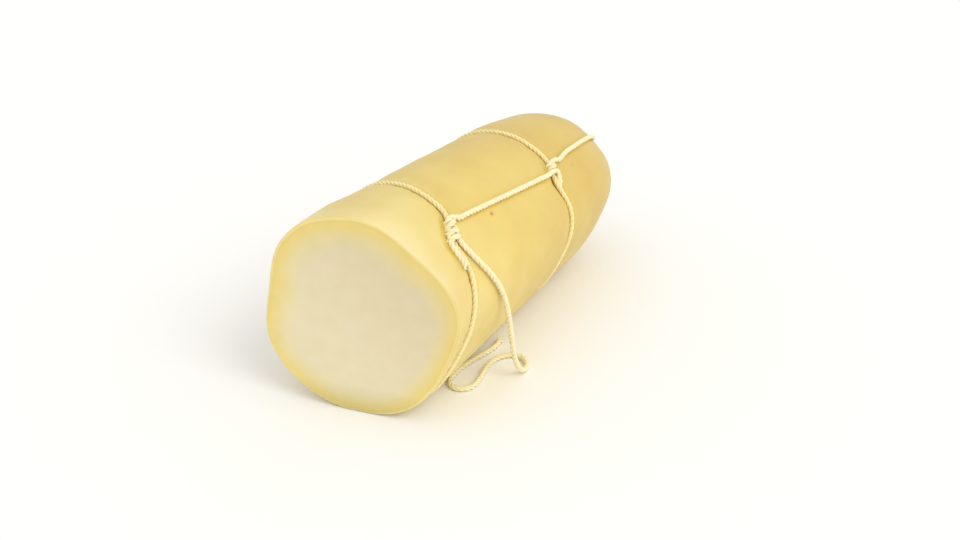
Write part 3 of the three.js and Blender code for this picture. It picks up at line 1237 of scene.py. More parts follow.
@dataclass(frozen=True)
class BrinedSkin:
    """The skin of stretched curd after brining and drying: satin, and light sinks a little into it.

    Attributes:
        name: The material's name.
        tints: Its colours from the cut to the far end: paler by the cut, a painted highlight, and
        deeper towards the far end, partly its own colour and partly painted shade.
        patch: What its deeper patches are multiplied by.
        marks: The colour that each mark turns the skin to: painted shade in the creases by the
        twine, a painted highlight drawn paler by the cut, or blemished.
        roughness: How much its satin spreads a reflection.
        ends: Where the log's two ends are, in metres.
        cloud: How wide its paler and deeper patches are, in millimetres.
        grain: The faint grain of the stretched curd, in millimetres.
        pulled: How much longer than wide the grain is along the log, as a scale of 1 over that.
    """

    name: str = "brined_curd_skin"
    tints: tuple[tuple[float, str], ...] = (
        (0.03, "#ECDA95"),
        (0.17, "#E7D283"),
        (0.3, "#E6CE77"),
        (0.95, "#D6BB6A"),
    )
    patch: str = "#F5EEDC"
    # The first mark is painted shade beside the twine, the second a painted highlight by the cut, and the
    # blemish the skin's own colour.
    marks: tuple[tuple[str, str], ...] = (("crease_shade", "#DBBC4E"), ("dip", "#E6D9AC"), ("blemish", "#BC7022"))
    roughness: float = 0.42
    ends: tuple[float, float] = (-0.1165, 0.1215)
    cloud: float = 34.0
    grain: float = 1.4
    pulled: float = 0.3

    def material(self) -> bpy.types.Material:
        """The finish as a material."""
        material, tree, output = new_material(self.name)
        place = add_node(tree, "ShaderNodeTexCoord").outputs["Object"]
        apart = add_node(tree, "ShaderNodeSeparateXYZ", {0: place})
        along = add_node(
            tree,
            "ShaderNodeMapRange",
            {"Value": apart.outputs["Y"], "From Min": self.ends[0], "From Max": self.ends[1]},
        )
        # Paler by the cut is a painted highlight; the deeper far end is partly painted shade.
        tint = add_node(tree, "ShaderNodeValToRGB", {"Fac": along.outputs["Result"]}, stops=self.tints)
        clouds = add_node(
            tree,
            "ShaderNodeTexNoise",
            {"Vector": place, "Scale": 1 / (self.cloud * MM), "Detail": 2.0, "Roughness": 0.45},
        )
        patches = add_node(
            tree,
            "ShaderNodeValToRGB",
            {"Fac": clouds.outputs["Fac"]},
            stops=[(0.3, self.patch), (0.68, UNCHANGED)],
        )
        uneven = add_node(
            tree,
            "ShaderNodeMix",
            {0: 1.0, 6: tint.outputs["Color"], 7: patches.outputs["Color"]},
            data_type="RGBA",
            blend_type="MULTIPLY",
        )
        colour = uneven.outputs[2]
        # Mixes in the painted shade of the creases, the painted highlight by the cut and the blemishes.
        for mark, marked_colour in self.marks:
            share = add_node(tree, "ShaderNodeAttribute", attribute_name=mark)
            marked = add_node(
                tree,
                "ShaderNodeMix",
                {0: share.outputs["Fac"], 6: colour, 7: linear(marked_colour)},
                data_type="RGBA",
            )
            colour = marked.outputs[2]
        pulled = add_node(tree, "ShaderNodeMapping", {"Vector": place, "Scale": (1.0, self.pulled, 1.0)})
        grain = add_node(
            tree,
            "ShaderNodeTexNoise",
            {"Vector": pulled.outputs[0], "Scale": 1 / (self.grain * MM), "Detail": 4.0},
        )
        bump = add_node(
            tree,
            "ShaderNodeBump",
            {"Height": grain.outputs["Fac"], "Strength": 0.35, "Distance": 0.1 * MM},
        )
        skin = add_node(
            tree,
            "ShaderNodeBsdfPrincipled",
            {
                "Base Color": colour,
                "Roughness": self.roughness,
                "IOR": 1.46,
                "Subsurface Weight": 0.35,
                "Subsurface Radius": (1.0, 0.62, 0.25),
                "Subsurface Scale": 5 * MM,
                "Normal": bump.outputs["Normal"],
            },
        )
        tree.links.new(skin.outputs["BSDF"], output.inputs["Surface"])
        return material


@dataclass(frozen=True)
class CutCurd:
    """The cut paste: ivory and close, moist under the knife, yellower where it has dried by the skin.

    Attributes:
        name: The material's name.
        tints: Its colours from the skin inwards, across the yellow band.
        side_shade: What the face is multiplied by towards its upper right: painted shade, darker
            and greyer.
        side_shade_way: The direction of that side.
        side_shade_reach: How far that way it starts and is full, in metres from the origin.
        clouded: What the deeper patches of the curd are multiplied by.
        cloud: How wide its faint paler and deeper patches are, in millimetres.
        painted_floor_shade: What the lowest part is multiplied by: painted shade near the floor.
        painted_floor_shade_reach: The heights at which that is full and gone, in metres.
        roughness: How much its moist face spreads a reflection.
        drag: The millimetres between the faint marks of the knife.
        drag_turn: How far the marks are turned from level, in degrees.
        drag_length: How long they are for their width, as a scale of 1 over that.
    """

    name: str = "cut_curd_paste"
    tints: tuple[tuple[float, str], ...] = (
        (0.0, "#EBDDA2"),
        (0.07, "#E4D080"),
        (0.18, "#E9D585"),
        (0.4, "#E9D896"),
        (0.64, "#E9DCA9"),
        (1.0, "#E8DDBB"),
    )
    # Painted shade: darker and greyer towards the upper right of the face.
    side_shade: str = "#F2EDE6"
    side_shade_way: tuple[float, float, float] = (0.62, 0.0, 0.78)
    side_shade_reach: tuple[float, float] = (0.02, 0.09)
    clouded: str = "#FCFBF7"
    cloud: float = 9.0
    # Painted shade: darker low down on the face, by the floor.
    painted_floor_shade: str = "#EAEAEC"
    painted_floor_shade_reach: tuple[float, float] = (0.002, 0.016)
    roughness: float = 0.5
    drag: float = 1.1
    drag_turn: float = 24.0
    drag_length: float = 0.06

    def material(self) -> bpy.types.Material:
        """The finish as a material."""
        material, tree, output = new_material(self.name)
        inward = add_node(tree, "ShaderNodeAttribute", attribute_name="inward").outputs["Fac"]
        place = add_node(tree, "ShaderNodeTexCoord").outputs["Object"]
        tint = add_node(tree, "ShaderNodeValToRGB", {"Fac": inward}, stops=self.tints)
        towards_side_shade = add_node(
            tree,
            "ShaderNodeVectorMath",
            {0: place, 1: self.side_shade_way},
            operation="DOT_PRODUCT",
        )
        clouds = add_node(
            tree,
            "ShaderNodeTexNoise",
            {"Vector": place, "Scale": 1 / (self.cloud * MM), "Detail": 3.0, "Roughness": 0.5},
        )
        height = add_node(tree, "ShaderNodeSeparateXYZ", {0: place})
        side_shade_from, side_shade_to = self.side_shade_reach
        # The heights of the painted shade by the floor.
        floor_shade_full, floor_shade_gone = self.painted_floor_shade_reach
        # The layers: painted shade towards the upper right, the curd's own clouds, and painted shade low by
        # the floor.
        layers = [
            (inward, towards_side_shade.outputs["Value"], [(side_shade_from, UNCHANGED), (side_shade_to, self.side_shade)]),
            (1.0, clouds.outputs["Fac"], [(0.3, self.clouded), (0.66, UNCHANGED)]),
            (1.0, height.outputs["Z"], [(floor_shade_full, self.painted_floor_shade), (floor_shade_gone, UNCHANGED)]),
        ]
        colour = tint.outputs["Color"]
        for share, value, stops in layers:
            layer = add_node(tree, "ShaderNodeValToRGB", {"Fac": value}, stops=stops)
            layered = add_node(
                tree,
                "ShaderNodeMix",
                {0: share, 6: colour, 7: layer.outputs["Color"]},
                data_type="RGBA",
                blend_type="MULTIPLY",
            )
            colour = layered.outputs[2]
        turned = add_node(
            tree,
            "ShaderNodeMapping",
            {
                "Vector": place,
                "Rotation": (0.0, math.radians(self.drag_turn), 0.0),
                "Scale": (self.drag_length, 1.0, 1.0),
            },
        )
        marks = add_node(
            tree,
            "ShaderNodeTexNoise",
            {"Vector": turned.outputs[0], "Scale": 1 / (self.drag * MM), "Detail": 2.0},
        )
        bump = add_node(
            tree,
            "ShaderNodeBump",
            {"Height": marks.outputs["Fac"], "Strength": 0.45, "Distance": 0.12 * MM},
        )
        paste = add_node(
            tree,
            "ShaderNodeBsdfPrincipled",
            {
                "Base Color": colour,
                "Roughness": self.roughness,
                "IOR": 1.45,
                "Subsurface Weight": 0.6,
                "Subsurface Radius": (1.0, 0.75, 0.4),
                "Subsurface Scale": 6 * MM,
                "Normal": bump.outputs["Normal"],
            },
        )
        tree.links.new(paste.outputs["BSDF"], output.inputs["Surface"])
        return material


@dataclass(frozen=True)
class Beside:
    """What is strongest at one distance from a twine and fades to both sides of that.

    Attributes:
        away: That distance, from the twine's middle.
        reach: How far it spreads to either side.
        most: How strong it is there: a height, a depth where it is below 0, or a share.
    """

    away: float
    reach: float
    most: float

    def at(
        self, distance: np.ndarray, fuller: np.ndarray | float = 0.0, wider: np.ndarray | float = 0.0
    ) -> np.ndarray:
        """How strong it is.

        Args:
            distance: How far from the twine's middle.
            fuller: How far that brings it up to 1, as a share.
            wider: How much further it spreads.

        Returns:
            Its strength at each distance.
        """
        return (self.most + (1 - self.most) * fuller) * bell(distance - self.away, self.reach + wider)


@dataclass(frozen=True)
class OneSide:
    """What is strongest at one angle and fades round the log.

    Attributes:
        angle: That angle.
        spread: How many degrees it spreads to either side.
        most: How strong it is there.
    """

    angle: float
    spread: float
    most: float = 1.0

    def at(self, angle: np.ndarray) -> np.ndarray:
        """How strong it is at each angle."""
        return self.most * bell(degrees_apart(angle, self.angle), self.spread)


@dataclass(frozen=True)
class GirthMarks:
    """What a girth has left in the skin, and the shade painted in its creases.

    Attributes:
        clearance: The gap under its twine.
        half_width: Half the width of its groove.
        steepness: The power that makes the groove's sides steep.
        smoothed: How much of the skin's unevenness it has pressed out.
        lip: The swelling on both sides of it.
        pleats: The unevenness of the skin that it has gathered.
        pleat_stretch: What that is scaled by: pleats are longer along the log than across.
        gathered: Where they are.
        fold: The sunk line on the cut's side.
        seam_shade: Painted shade in the crease along the twine.
        seam_shade_wider: How much wider that is by the knot.
        fold_shade: Painted shade in the fold.
        by_knot: Where that painted shade is fuller, round from the knot.
        below_knot: Where the fold's painted shade is.
    """

    clearance: float = 0.12
    half_width: float = 1.75
    steepness: float = 3.4
    smoothed: Beside = Beside(away=0.0, reach=3.0, most=0.8)
    lip: Beside = Beside(away=3.6, reach=1.9, most=0.34)
    pleats: Unevenness = Unevenness(seed=5, shortest=3.5, longest=9, height=0.19)
    pleat_stretch: tuple[float, float, float] = (1.0, 0.35, 1.0)
    gathered: Beside = Beside(away=4.0, reach=3.2, most=1.0)
    fold: Beside = Beside(away=-2.5, reach=1.4, most=-0.45)
    # From here on: painted shade in the creases by the twine, fuller by the knot.
    seam_shade: Beside = Beside(away=0.0, reach=2.1, most=0.55)
    seam_shade_wider: float = 0.5
    fold_shade: Beside = Beside(away=-2.6, reach=1.6, most=0.6)
    by_knot: OneSide = OneSide(angle=0.0, spread=26.0)
    below_knot: OneSide = OneSide(angle=-12.0, spread=34.0)

    def height(
        self, skin: np.ndarray, base: np.ndarray, beyond: np.ndarray, sunk: np.ndarray
    ) -> np.ndarray:
        """The skin's height by a girth.

        Args:
            skin: Its height there without the girth.
            base: The points of the plain form.
            beyond: How far past the middle of the twine they are.
            sunk: How far that middle lies below the skin.

        Returns:
            The height over the plain form.
        """
        across = np.abs(beyond)
        groove = np.exp(-((across / self.half_width) ** self.steepness))
        depth = sunk + TWINE_DIAMETER / 2 + self.clearance
        pleats = self.pleats.at(base * self.pleat_stretch) * self.gathered.at(across)
        bound = skin * (1 - self.smoothed.at(across)) - depth * groove
        return bound + self.lip.at(across) + pleats + self.fold.at(beyond)

    def crease_shade(self, beyond: np.ndarray, from_knot: np.ndarray) -> np.ndarray:
        """How much painted shade lies in the creases beside a girth.

        Args:
            beyond: How far past the middle of the twine each point is.
            from_knot: How many degrees round from the knot it is.

        Returns:
            The share of the painted shade colour.
        """
        # Painted shade beside the twine and in the fold.
        by_knot = self.by_knot.at(from_knot)
        seam_shade = self.seam_shade.at(np.abs(beyond), by_knot, self.seam_shade_wider * by_knot)
        return np.maximum(seam_shade, self.fold_shade.at(beyond, self.below_knot.at(from_knot)))


@dataclass(frozen=True)
class Blemish:
    """A small mark in the skin: its place, width, depth and how dark it is."""

    angle: float
    y: float
    width: float
    depth: float
    strength: float

    def share(self, form: LogForm, angle: np.ndarray, y: np.ndarray) -> np.ndarray:
        """How much of it there is at each point, up to 1."""
        aside = np.radians(degrees_apart(angle, self.angle)) * form.bare_radius(angle, y)
        return bell(np.hypot(aside, y - self.y), self.width)


@dataclass(frozen=True)
class Pinch:
    """A small deep fold on the cut's side of a girth, by its knot, with painted shade in it.

    Attributes:
        line: The girth.
        angle: Its middle, round the log.
        spread: How many degrees it spreads to either side.
        away: How far its deepest line is from the girth's middle.
        depth: How deep it is.
        tint: How much painted shade shows in it.
        reach: How far it spreads to either side of its deepest line.
    """

    line: GirthLine
    angle: float
    spread: float
    away: float
    depth: float
    tint: float = 1.0
    reach: float = 2.1

    def share(self, form: LogForm, angle: np.ndarray, y: np.ndarray) -> np.ndarray:
        """How much of it there is at each point, up to 1."""
        before = (form.girth_y(self.line, angle) - y) / form.girth_slant(self.line, angle)
        return bell(degrees_apart(angle, self.angle), self.spread) * bell(before - self.away, self.reach)


@dataclass(frozen=True)
class Dip:
    """A broad shallow hollow in the skin.

    Attributes:
        angle: Its middle, round the log.
        y: Its middle, along the log.
        spread: How many degrees it spreads to either side.
        reach: How far it spreads along the log.
        depth: How deep it is, or how high where it is a swelling.
        painted_highlight: How much paler the skin is drawn there: a painted highlight.
    """

    angle: float
    y: float
    spread: float
    reach: float
    depth: float
    painted_highlight: float = 0.0

    def share(self, angle: np.ndarray, y: np.ndarray) -> np.ndarray:
        """How much of it there is at each point, up to 1."""
        return bell(degrees_apart(angle, self.angle), self.spread) * bell(y - self.y, self.reach)


@dataclass(frozen=True)
class Cheese:
    """The log of cheese, with everything that the twine, the hands and the knife left in it.

    Attributes:
        form: The log's shape.
        lengthwise: The twine along it, which dents it.
        columns: How many points there are round the log, a multiple of 8.
        finer: Where the columns are closer together, under the lengthwise twine.
        finer_steps: How many steps round the log their spacing is worked out in.
        cut_edge: The rounding of the cut face's edge.
        edge_rows: How many rows of points that has.
        groove_reach: How far to each side of a girth the rows of points follow it.
        rows_between: How many rows there are to the front girth, across it, on to the rear one,
            across that, and on to the dome.
        dome_rows: How many rows the dome has.
        girth_marks: What the girths have left in the skin.
        dent: The dent under the lengthwise twine.
        dent_lip: The swelling beside that.
        dent_shade: Painted shade in it.
        bridged: How far to each side of a girth the lengthwise twine is clear of the skin.
        lands_on_top: Where along the log the top run comes down on the skin.
        lands_underneath: The same underneath.
        changeover: How far before the rear knot's run the dent passes over to it.
        inset: How far the skin's middle level lies inside the plain form.
        broad: The skin's broad unevenness.
        small: Its small unevenness.
        blemishes: Small brown marks.
        pinches: Folds by the knots.
        dips: Broad hollows, two by the cut drawn paler as a painted highlight, and one swelling.
        face_waves: The cut face's unevenness.
        face_proud: How far its middle stands out before its edge.
        face_flat: The share of the face, inwards from its edge, over which that comes in.
        band_width: The least width of the yellow band by the skin.
        band_wider: Where it is wider, and by how much.
        band_wander: How its width wanders, as a share of it.
        band_faded: Where it has faded, and by how much.
    """

    form: LogForm
    lengthwise: LengthwiseTwine
    columns: int = 328
    finer: tuple[OneSide, ...] = (OneSide(50, 9, 0.9), OneSide(231, 6, 0.8))
    finer_steps: int = 1440
    cut_edge: float = 0.9
    edge_rows: int = 5
    groove_reach: float = 8.0
    rows_between: tuple[int, ...] = (26, 44, 72, 44, 14)
    dome_rows: int = 71
    girth_marks: GirthMarks = GirthMarks()
    dent: Beside = Beside(away=0.0, reach=1.9, most=-0.42)
    dent_lip: Beside = Beside(away=3.4, reach=1.6, most=0.126)
    # Painted shade in the dent under the lengthwise twine.
    dent_shade: Beside = Beside(away=0.0, reach=1.5, most=0.45)
    bridged: float = 9.0
    lands_on_top: tuple[float, float] = (44.0, 56.0)
    lands_underneath: tuple[float, float] = (24.0, 36.0)
    changeover: float = 8.0
    inset: float = 0.4
    broad: Unevenness = Unevenness(seed=3, shortest=20, longest=75, height=0.36)
    small: Unevenness = Unevenness(seed=4, shortest=3.5, longest=11, height=0.05)
    blemishes: tuple[Blemish, ...] = (
        Blemish(angle=46.6, y=72.5, width=1.05, depth=0.6, strength=1.0),
        Blemish(angle=41.4, y=164.6, width=0.7, depth=0.15, strength=0.6),
    )
    pinches: tuple[Pinch, ...] = (
        # Each pinch is a fold, and its colour is painted shade.
        Pinch(FRONT_LINE, angle=57, spread=9, away=4.3, depth=0.9),
        Pinch(FRONT_LINE, angle=43, spread=8, away=5.3, depth=0.6),
        Pinch(REAR_LINE, angle=50, spread=5, away=4.6, depth=0.6),
        Pinch(REAR_LINE, angle=38, spread=6.5, away=2.6, depth=0.9),
        Pinch(REAR_LINE, angle=36, spread=6, away=4.8, depth=0.2, tint=0.5),
    )
    dips: tuple[Dip, ...] = (
        Dip(angle=131, y=-4.5, spread=12, reach=7, depth=0.9),
        # These two by the cut are drawn paler: a painted highlight.
        Dip(angle=60, y=5.0, spread=17, reach=7, depth=1.6, painted_highlight=0.56),
        Dip(angle=30, y=7.0, spread=14, reach=6, depth=0.8, painted_highlight=0.4),
        Dip(angle=123, y=21, spread=16, reach=11, depth=-0.8),
        Dip(angle=117, y=185, spread=20, reach=13, depth=1.5),
    )
    face_waves: Unevenness = Unevenness(seed=6, shortest=8, longest=50, height=0.12)
    face_proud: float = 0.1
    face_flat: float = 0.06
    band_width: float = 12.075
    band_wider: tuple[OneSide, ...] = (OneSide(75, 50, 4.725), OneSide(190, 65, 6.825))
    band_wander: Unevenness = Unevenness(seed=7, shortest=9, longest=45, height=0.12)
    band_faded: OneSide = OneSide(225, 40, 0.15)

    def column_angles(self, column: np.ndarray) -> np.ndarray:
        """The angles of columns, closer together where the lengthwise twine lies.

        Args:
            column: The columns' numbers, which may lie between two columns.

        Returns:
            One angle for each.
        """
        angle = np.linspace(0, 360, self.finer_steps + 1)
        closeness = 1 + sum(side.at(angle) for side in self.finer)
        passed = np.concatenate([[0], np.cumsum((closeness[1:] + closeness[:-1]) / 2)])
        whole, part = np.divmod(column, self.columns)
        return 360 * whole + np.interp(part / self.columns, passed / passed[-1], angle)

    def rows(self, angle: np.ndarray) -> np.ndarray:
        """Where the skin's points are along the log.

        Args:
            angle: The angle of each column.

        Returns:
            One row of places for each row of points, with one place for each column.
        """
        form = self.form
        slope_x, slope_z = form.cut_slope
        turn = np.radians(angle)
        radius = form.bare_radius(angle, np.zeros_like(angle)) - self.cut_edge
        cut = radius * (slope_x * np.cos(turn) + slope_z * np.sin(turn))
        stops = [cut + self.cut_edge]
        for line in form.girths:
            middle = form.girth_y(line, angle)
            reach = self.groove_reach * form.girth_slant(line, angle)
            stops += [middle - reach, middle + reach]
        stops.append(np.full_like(angle, form.dome_start))
        rows = []
        for count, start, end in zip(self.rows_between, stops[:-1], stops[1:], strict=True):
            share = np.linspace(0, 1, count, endpoint=False)[:, None]
            rows.append(start + (end - start) * share)
        over = np.sin(np.linspace(0, np.pi / 2, self.dome_rows)) ** (2 / form.dome_power)
        rows.append(form.dome_start + form.dome_length * over[:, None] + np.zeros_like(angle))
        return np.concatenate(rows)

    def run_distance(self, angle: np.ndarray, y: np.ndarray) -> tuple[np.ndarray, np.ndarray]:
        """Where the lengthwise twine is from points of the skin.

        Args:
            angle: The points' angles.
            y: Their places along the log.

        Returns:
            How far it is from each point, and how hard it presses there, from 0 to 1.
        """
        run = self.lengthwise
        form = self.form
        top_angle = np.where(y > run.back_start - self.changeover, run.over_angle, run.top_angle(y))
        top, under = (
            form.bare_radius(angle, y) * np.sin(np.radians(np.clip(degrees_apart(angle, lies), -90, 90)))
            for lies in (top_angle, run.under_angle)
        )
        near_top = np.abs(degrees_apart(angle, run.over_angle)) < 90
        press = np.where(near_top, ease(y, *self.lands_on_top), ease(y, *self.lands_underneath))
        for line in form.girths:
            press = press * (1 - bell(y - form.girth_y(line, angle), self.bridged))
        return np.where(near_top, top, under), press

    def skin(self, angle: np.ndarray, y: np.ndarray) -> tuple[np.ndarray, dict[str, np.ndarray]]:
        """The finished skin.

        Args:
            angle: The points' angles.
            y: Their places along the log.

        Returns:
            The points, and at each the share of painted shade in the creases, of the blemish and
            of the painted highlight.
        """
        form = self.form
        base = form.skin_point(angle, y)
        height = self.broad.at(base) + self.small.at(base) - self.inset
        # This share is painted shade: in the creases by the girths, the pinches and the dent.
        crease_shade = np.zeros_like(height)
        for line in form.girths:
            beyond = (y - form.girth_y(line, angle)) / form.girth_slant(line, angle)
            height = self.girth_marks.height(height, base, beyond, form.girth_sunk(line, angle))
            crease_shade = np.maximum(crease_shade, self.girth_marks.crease_shade(beyond, angle - line.knot))
        # Each pinch deepens the skin and adds painted shade.
        for pinch in self.pinches:
            share = pinch.share(form, angle, y)
            height -= pinch.depth * share
            crease_shade = np.maximum(crease_shade, pinch.tint * share)
        from_run, press = self.run_distance(angle, y)
        height += press * (self.dent.at(from_run) + self.dent_lip.at(np.abs(from_run)))
        crease_shade = np.maximum(crease_shade, press * self.dent_shade.at(from_run))
        marked = np.zeros_like(height)
        for spot in self.blemishes:
            share = spot.share(form, angle, y)
            height -= spot.depth * share
            marked += spot.strength * share
        # The dips by the cut are drawn paler: a painted highlight.
        highlight_share = np.zeros_like(height)
        for dip in self.dips:
            share = dip.share(angle, y)
            height -= dip.depth * share
            highlight_share += dip.painted_highlight * share
        points = base + form.outward(angle, y) * height[..., None]
        points[..., 2] = np.maximum(points[..., 2], 0)
        return points, {"crease_shade": crease_shade, "blemish": np.clip(marked, 0, 1), "dip": highlight_share}

    def build(self, finishes: Sequence[bpy.types.Material]) -> bpy.types.Object:
        """Makes the cheese.

        Args:
            finishes: The skin's material and the cut paste's.

        Returns:
            The cheese.
        """
        angle = self.column_angles(np.arange(self.columns, dtype=float))
        y = self.rows(angle)
        skin, marks = self.skin(np.broadcast_to(angle, y.shape), y)
        turn = np.linspace(0, np.pi / 2, self.edge_rows)[:-1, None, None]
        inward = skin[0] - self.cut_edge * radial(angle)
        edge = inward + self.cut_edge * (np.sin(turn) * radial(angle) - np.cos(turn) * ALONG)
        half = self.columns // 8  # each side of the square grid meets a quarter of the columns
        face, shares = self.cut_face(edge[0], half)
        wall = np.concatenate([edge[1:], skin[:-1]])
        points = np.concatenate([face, wall.reshape(-1, 3), skin[-1:, 0]])
        known = {"inward": np.concatenate([shares, np.zeros(len(points) - len(face))])}
        for mark, values in marks.items():
            held = [np.zeros(len(face)), np.tile(values[0], len(edge) - 1), values[:-1].ravel()]
            known[mark] = np.concatenate([*held, values[-1:, 0]])
        parts = MeshParts(points, self.faces(half, len(wall)), known, [1, 0, 0])
        cheese = parts.piece("cheese_log", finishes, "cheese")
        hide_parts("cheese")
        return cheese

    def faces(self, half: int, rows: int) -> list[np.ndarray]:
        """The cheese's faces.

        Args:
            half: Half the number of squares along a side of the cut face's grid.
            rows: How many rows of points there are behind the grid's rim.

        Returns:
            The cut face's grid, the wall of squares round the log and the fan at its tip.
        """
        side = 2 * half + 1
        cell = np.arange(side * side).reshape(side, side)
        corners = [cell[:-1, :-1], cell[1:, :-1], cell[1:, 1:], cell[:-1, 1:]]
        flat = np.stack(corners, axis=-1).reshape(-1, 4)
        behind = cell.size + np.arange(rows * self.columns).reshape(rows, self.columns)
        rings = np.concatenate([self.rim_points(half)[None], behind])
        beside = np.roll(rings, -1, axis=1)
        wall = np.stack([rings[:-1], rings[1:], beside[1:], beside[:-1]], axis=-1).reshape(-1, 4)
        tip = np.full(self.columns, cell.size + behind.size)
        return [flat, wall, np.stack([rings[-1], tip, beside[-1]], axis=-1)]

    def rim_points(self, half: int) -> np.ndarray:
        """The cut face's points that lie on its edge.

        Args:
            half: Half the number of squares along a side of the cut face's grid.

        Returns:
            Their numbers, column by column.
        """
        offset = (np.arange(8 * half) + half) % (8 * half)
        edge_number, step = np.divmod(offset, 2 * half)
        edges = [edge_number == 0, edge_number == 1, edge_number == 2]
        across = np.select(edges, [2 * half, 2 * half - step, 0], step)
        up = np.select(edges, [step, 2 * half, 2 * half - step], 0)
        return across * (2 * half + 1) + up

    def cut_face(self, rim: np.ndarray, half: int) -> tuple[np.ndarray, np.ndarray]:
        """The cut face as a square grid that is drawn out to the round of its rim.

        Args:
            rim: The points of its edge, one for each column.
            half: Half the number of squares along a side of the grid.

        Returns:
            The points, and how far each is across the yellow band by the skin.
        """
        steps = np.arange(-half, half + 1)
        across, up = (part.ravel() for part in np.meshgrid(steps, steps, indexing="ij"))
        ring = np.maximum(np.abs(across), np.abs(up))
        size = np.maximum(ring, 1)
        passed = np.select(
            [(across == ring) & (up > -ring), up == ring, across == -ring],
            [up, 2 * size - across, 4 * size - up],
            6 * size + across,
        )
        column = passed / (8 * size) * self.columns % self.columns
        angle = self.column_angles(column)
        numbers = np.arange(self.columns + 1)
        closed = np.concatenate([rim, rim[:1]])
        outer = np.stack([np.interp(column, numbers, closed[:, axis]) for axis in range(3)], axis=-1)
        centre = self.form.axis(np.array(0.0))
        share = ring / half
        points = centre + (outer - centre) * share[:, None]
        waves = self.face_waves.at(points) - self.face_proud
        points[:, 1] += waves * ease(1 - share, 0.0, self.face_flat)
        distance = np.linalg.norm(outer - points, axis=1)
        width = self.band_width + sum(side.at(angle) for side in self.band_wider)
        width = width * (1 + self.band_wander.at(points))
        return points, np.clip(distance / width + self.band_faded.at(angle), 0, 1)


# ---- The stage ----


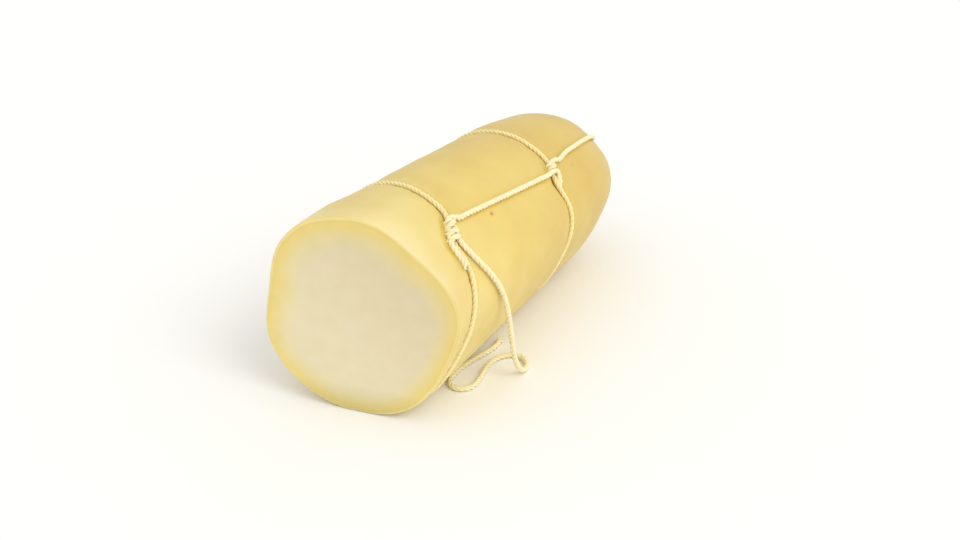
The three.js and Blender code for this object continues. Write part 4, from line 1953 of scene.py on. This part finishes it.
@dataclass(frozen=True)
class Stage:
    """A plain pale floor, soft light from the right and above in a pale room, and the camera.

    Attributes:
        eye: The camera's place in the row frame, in metres.
        azimuth: The direction that the camera looks from, in degrees.
        elevation: How far above the horizon it is, in degrees.
        lens: Its focal length in millimetres.
        sensor: The width of its sensor in millimetres.
        nearest: How near it sees, in metres.
        floor_size: The length of the floor's sides, in metres.
        floor_colour: The floor's colour.
        room_colour: The colour of the room's light.
        room_strength: How bright the room is on its dim side and on its bright side.
        bright_side: The direction of that bright side.
        key_side: The direction that the key light comes from.
        key_strength: How bright it is.
        key_width: How wide it is seen, in degrees, which softens its shadows.
        key_colour: Its colour.
    """

    eye: tuple[float, float, float] = (0.2883, -0.5228, 0.3430)
    azimuth: float = 28.72
    elevation: float = 28.01
    lens: float = 45.0
    sensor: float = 36.0
    nearest: float = 0.01
    floor_size: float = 8.0
    floor_colour: str = "#F8F8F6"
    room_colour: str = "#FFFFFF"
    room_strength: tuple[float, float] = (0.7, 0.99)
    bright_side: tuple[float, float, float] = (0.75, -0.25, 0.5)
    key_side: tuple[float, float, float] = (0.8, -0.22, 0.85)
    key_strength: float = 0.85
    key_width: float = 32.0
    key_colour: str = "#FFFCF6"

    def build_camera(self) -> None:
        """Makes the camera."""
        data = bpy.data.cameras.new("camera")
        data.lens = self.lens
        data.sensor_width = self.sensor
        data.clip_start = self.nearest
        camera = bpy.data.objects.new("camera", data)
        bpy.context.scene.collection.objects.link(camera)
        azimuth = math.radians(self.azimuth)
        elevation = math.radians(self.elevation)
        level = math.cos(elevation)
        back = Vector((math.sin(azimuth) * level, -math.cos(azimuth) * level, math.sin(elevation)))
        camera.location = self.eye
        camera.rotation_mode = "QUATERNION"
        camera.rotation_quaternion = (-back).to_track_quat("-Z", "Y")
        bpy.context.scene.camera = camera

    def build_floor(self) -> None:
        """Makes the floor: matt white board, which spreads light evenly and hardly mirrors."""
        half = self.floor_size / 2
        corners = [(-half, -half, 0), (half, -half, 0), (half, half, 0), (-half, half, 0)]
        mesh = bpy.data.meshes.new("floor")
        mesh.from_pydata(corners, [], [(0, 1, 2, 3)])
        floor = bpy.data.objects.new("floor", mesh)
        bpy.context.scene.collection.objects.link(floor)
        material, tree, output = new_material("matt_white_board")
        board = add_node(
            tree,
            "ShaderNodeBsdfPrincipled",
            {"Base Color": linear(self.floor_colour), "Roughness": 0.9, "Specular IOR Level": 0.2},
        )
        tree.links.new(board.outputs["BSDF"], output.inputs["Surface"])
        mesh.materials.append(material)

    def build_light(self) -> None:
        """Makes the key light and the pale room, which is brighter on one side."""
        data = bpy.data.lights.new("key_light", "SUN")
        data.energy = self.key_strength
        data.angle = math.radians(self.key_width)
        data.color = linear(self.key_colour)[:3]
        key = bpy.data.objects.new("key_light", data)
        bpy.context.scene.collection.objects.link(key)
        key.rotation_mode = "QUATERNION"
        key.rotation_quaternion = Vector(self.key_side).to_track_quat("Z", "Y")
        world = bpy.data.worlds.new("pale_room")
        world.use_nodes = True
        world.node_tree.nodes.clear()
        tree = world.node_tree
        way = add_node(tree, "ShaderNodeTexCoord").outputs["Generated"]
        towards = add_node(
            tree,
            "ShaderNodeVectorMath",
            {0: way, 1: Vector(self.bright_side).normalized()},
            operation="DOT_PRODUCT",
        )
        strength = add_node(
            tree,
            "ShaderNodeMapRange",
            {
                "Value": towards.outputs["Value"],
                "From Min": -1.0,
                "From Max": 1.0,
                "To Min": self.room_strength[0],
                "To Max": self.room_strength[1],
            },
        )
        room = add_node(
            tree,
            "ShaderNodeBackground",
            {"Color": linear(self.room_colour), "Strength": strength.outputs["Result"]},
        )
        output = add_node(tree, "ShaderNodeOutputWorld")
        tree.links.new(room.outputs["Background"], output.inputs["Surface"])
        scene = bpy.context.scene
        scene.world = world
        scene.view_settings.view_transform = "Standard"
        scene.view_settings.look = "None"


def main() -> None:
    """Builds the camera, the cords, the rest of the twine, the cheese and the stage."""
    logging.basicConfig(level=logging.INFO, format="%(message)s")
    stage = Stage()
    stage.build_camera()
    form = LogForm()
    twine = Twine()
    cotton = TwistedCotton().material()
    LooseTail(twine).build(cotton)
    # The girths have taken up fat from the skin, which makes the cotton yellower and deeper.
    soaked = TwistedCotton("oil_soaked_cotton_twine", bright="#FDEDB2", shaded="#F2DC9E").material()
    Girth(form, twine, FRONT_LINE, "twine_girth_front", seed=11).build(soaked)
    Girth(form, twine, REAR_LINE, "twine_girth_rear", seed=12).build(soaked)
    lengthwise = LengthwiseTwine(form, twine)
    lengthwise.build_top(cotton)
    lengthwise.build_back(cotton)
    FrontKnot(form, twine).build(cotton)
    Cheese(form, lengthwise).build([BrinedSkin().material(), CutCurd().material()])
    stage.build_floor()
    stage.build_light()


if __name__ == "__main__":
    main()
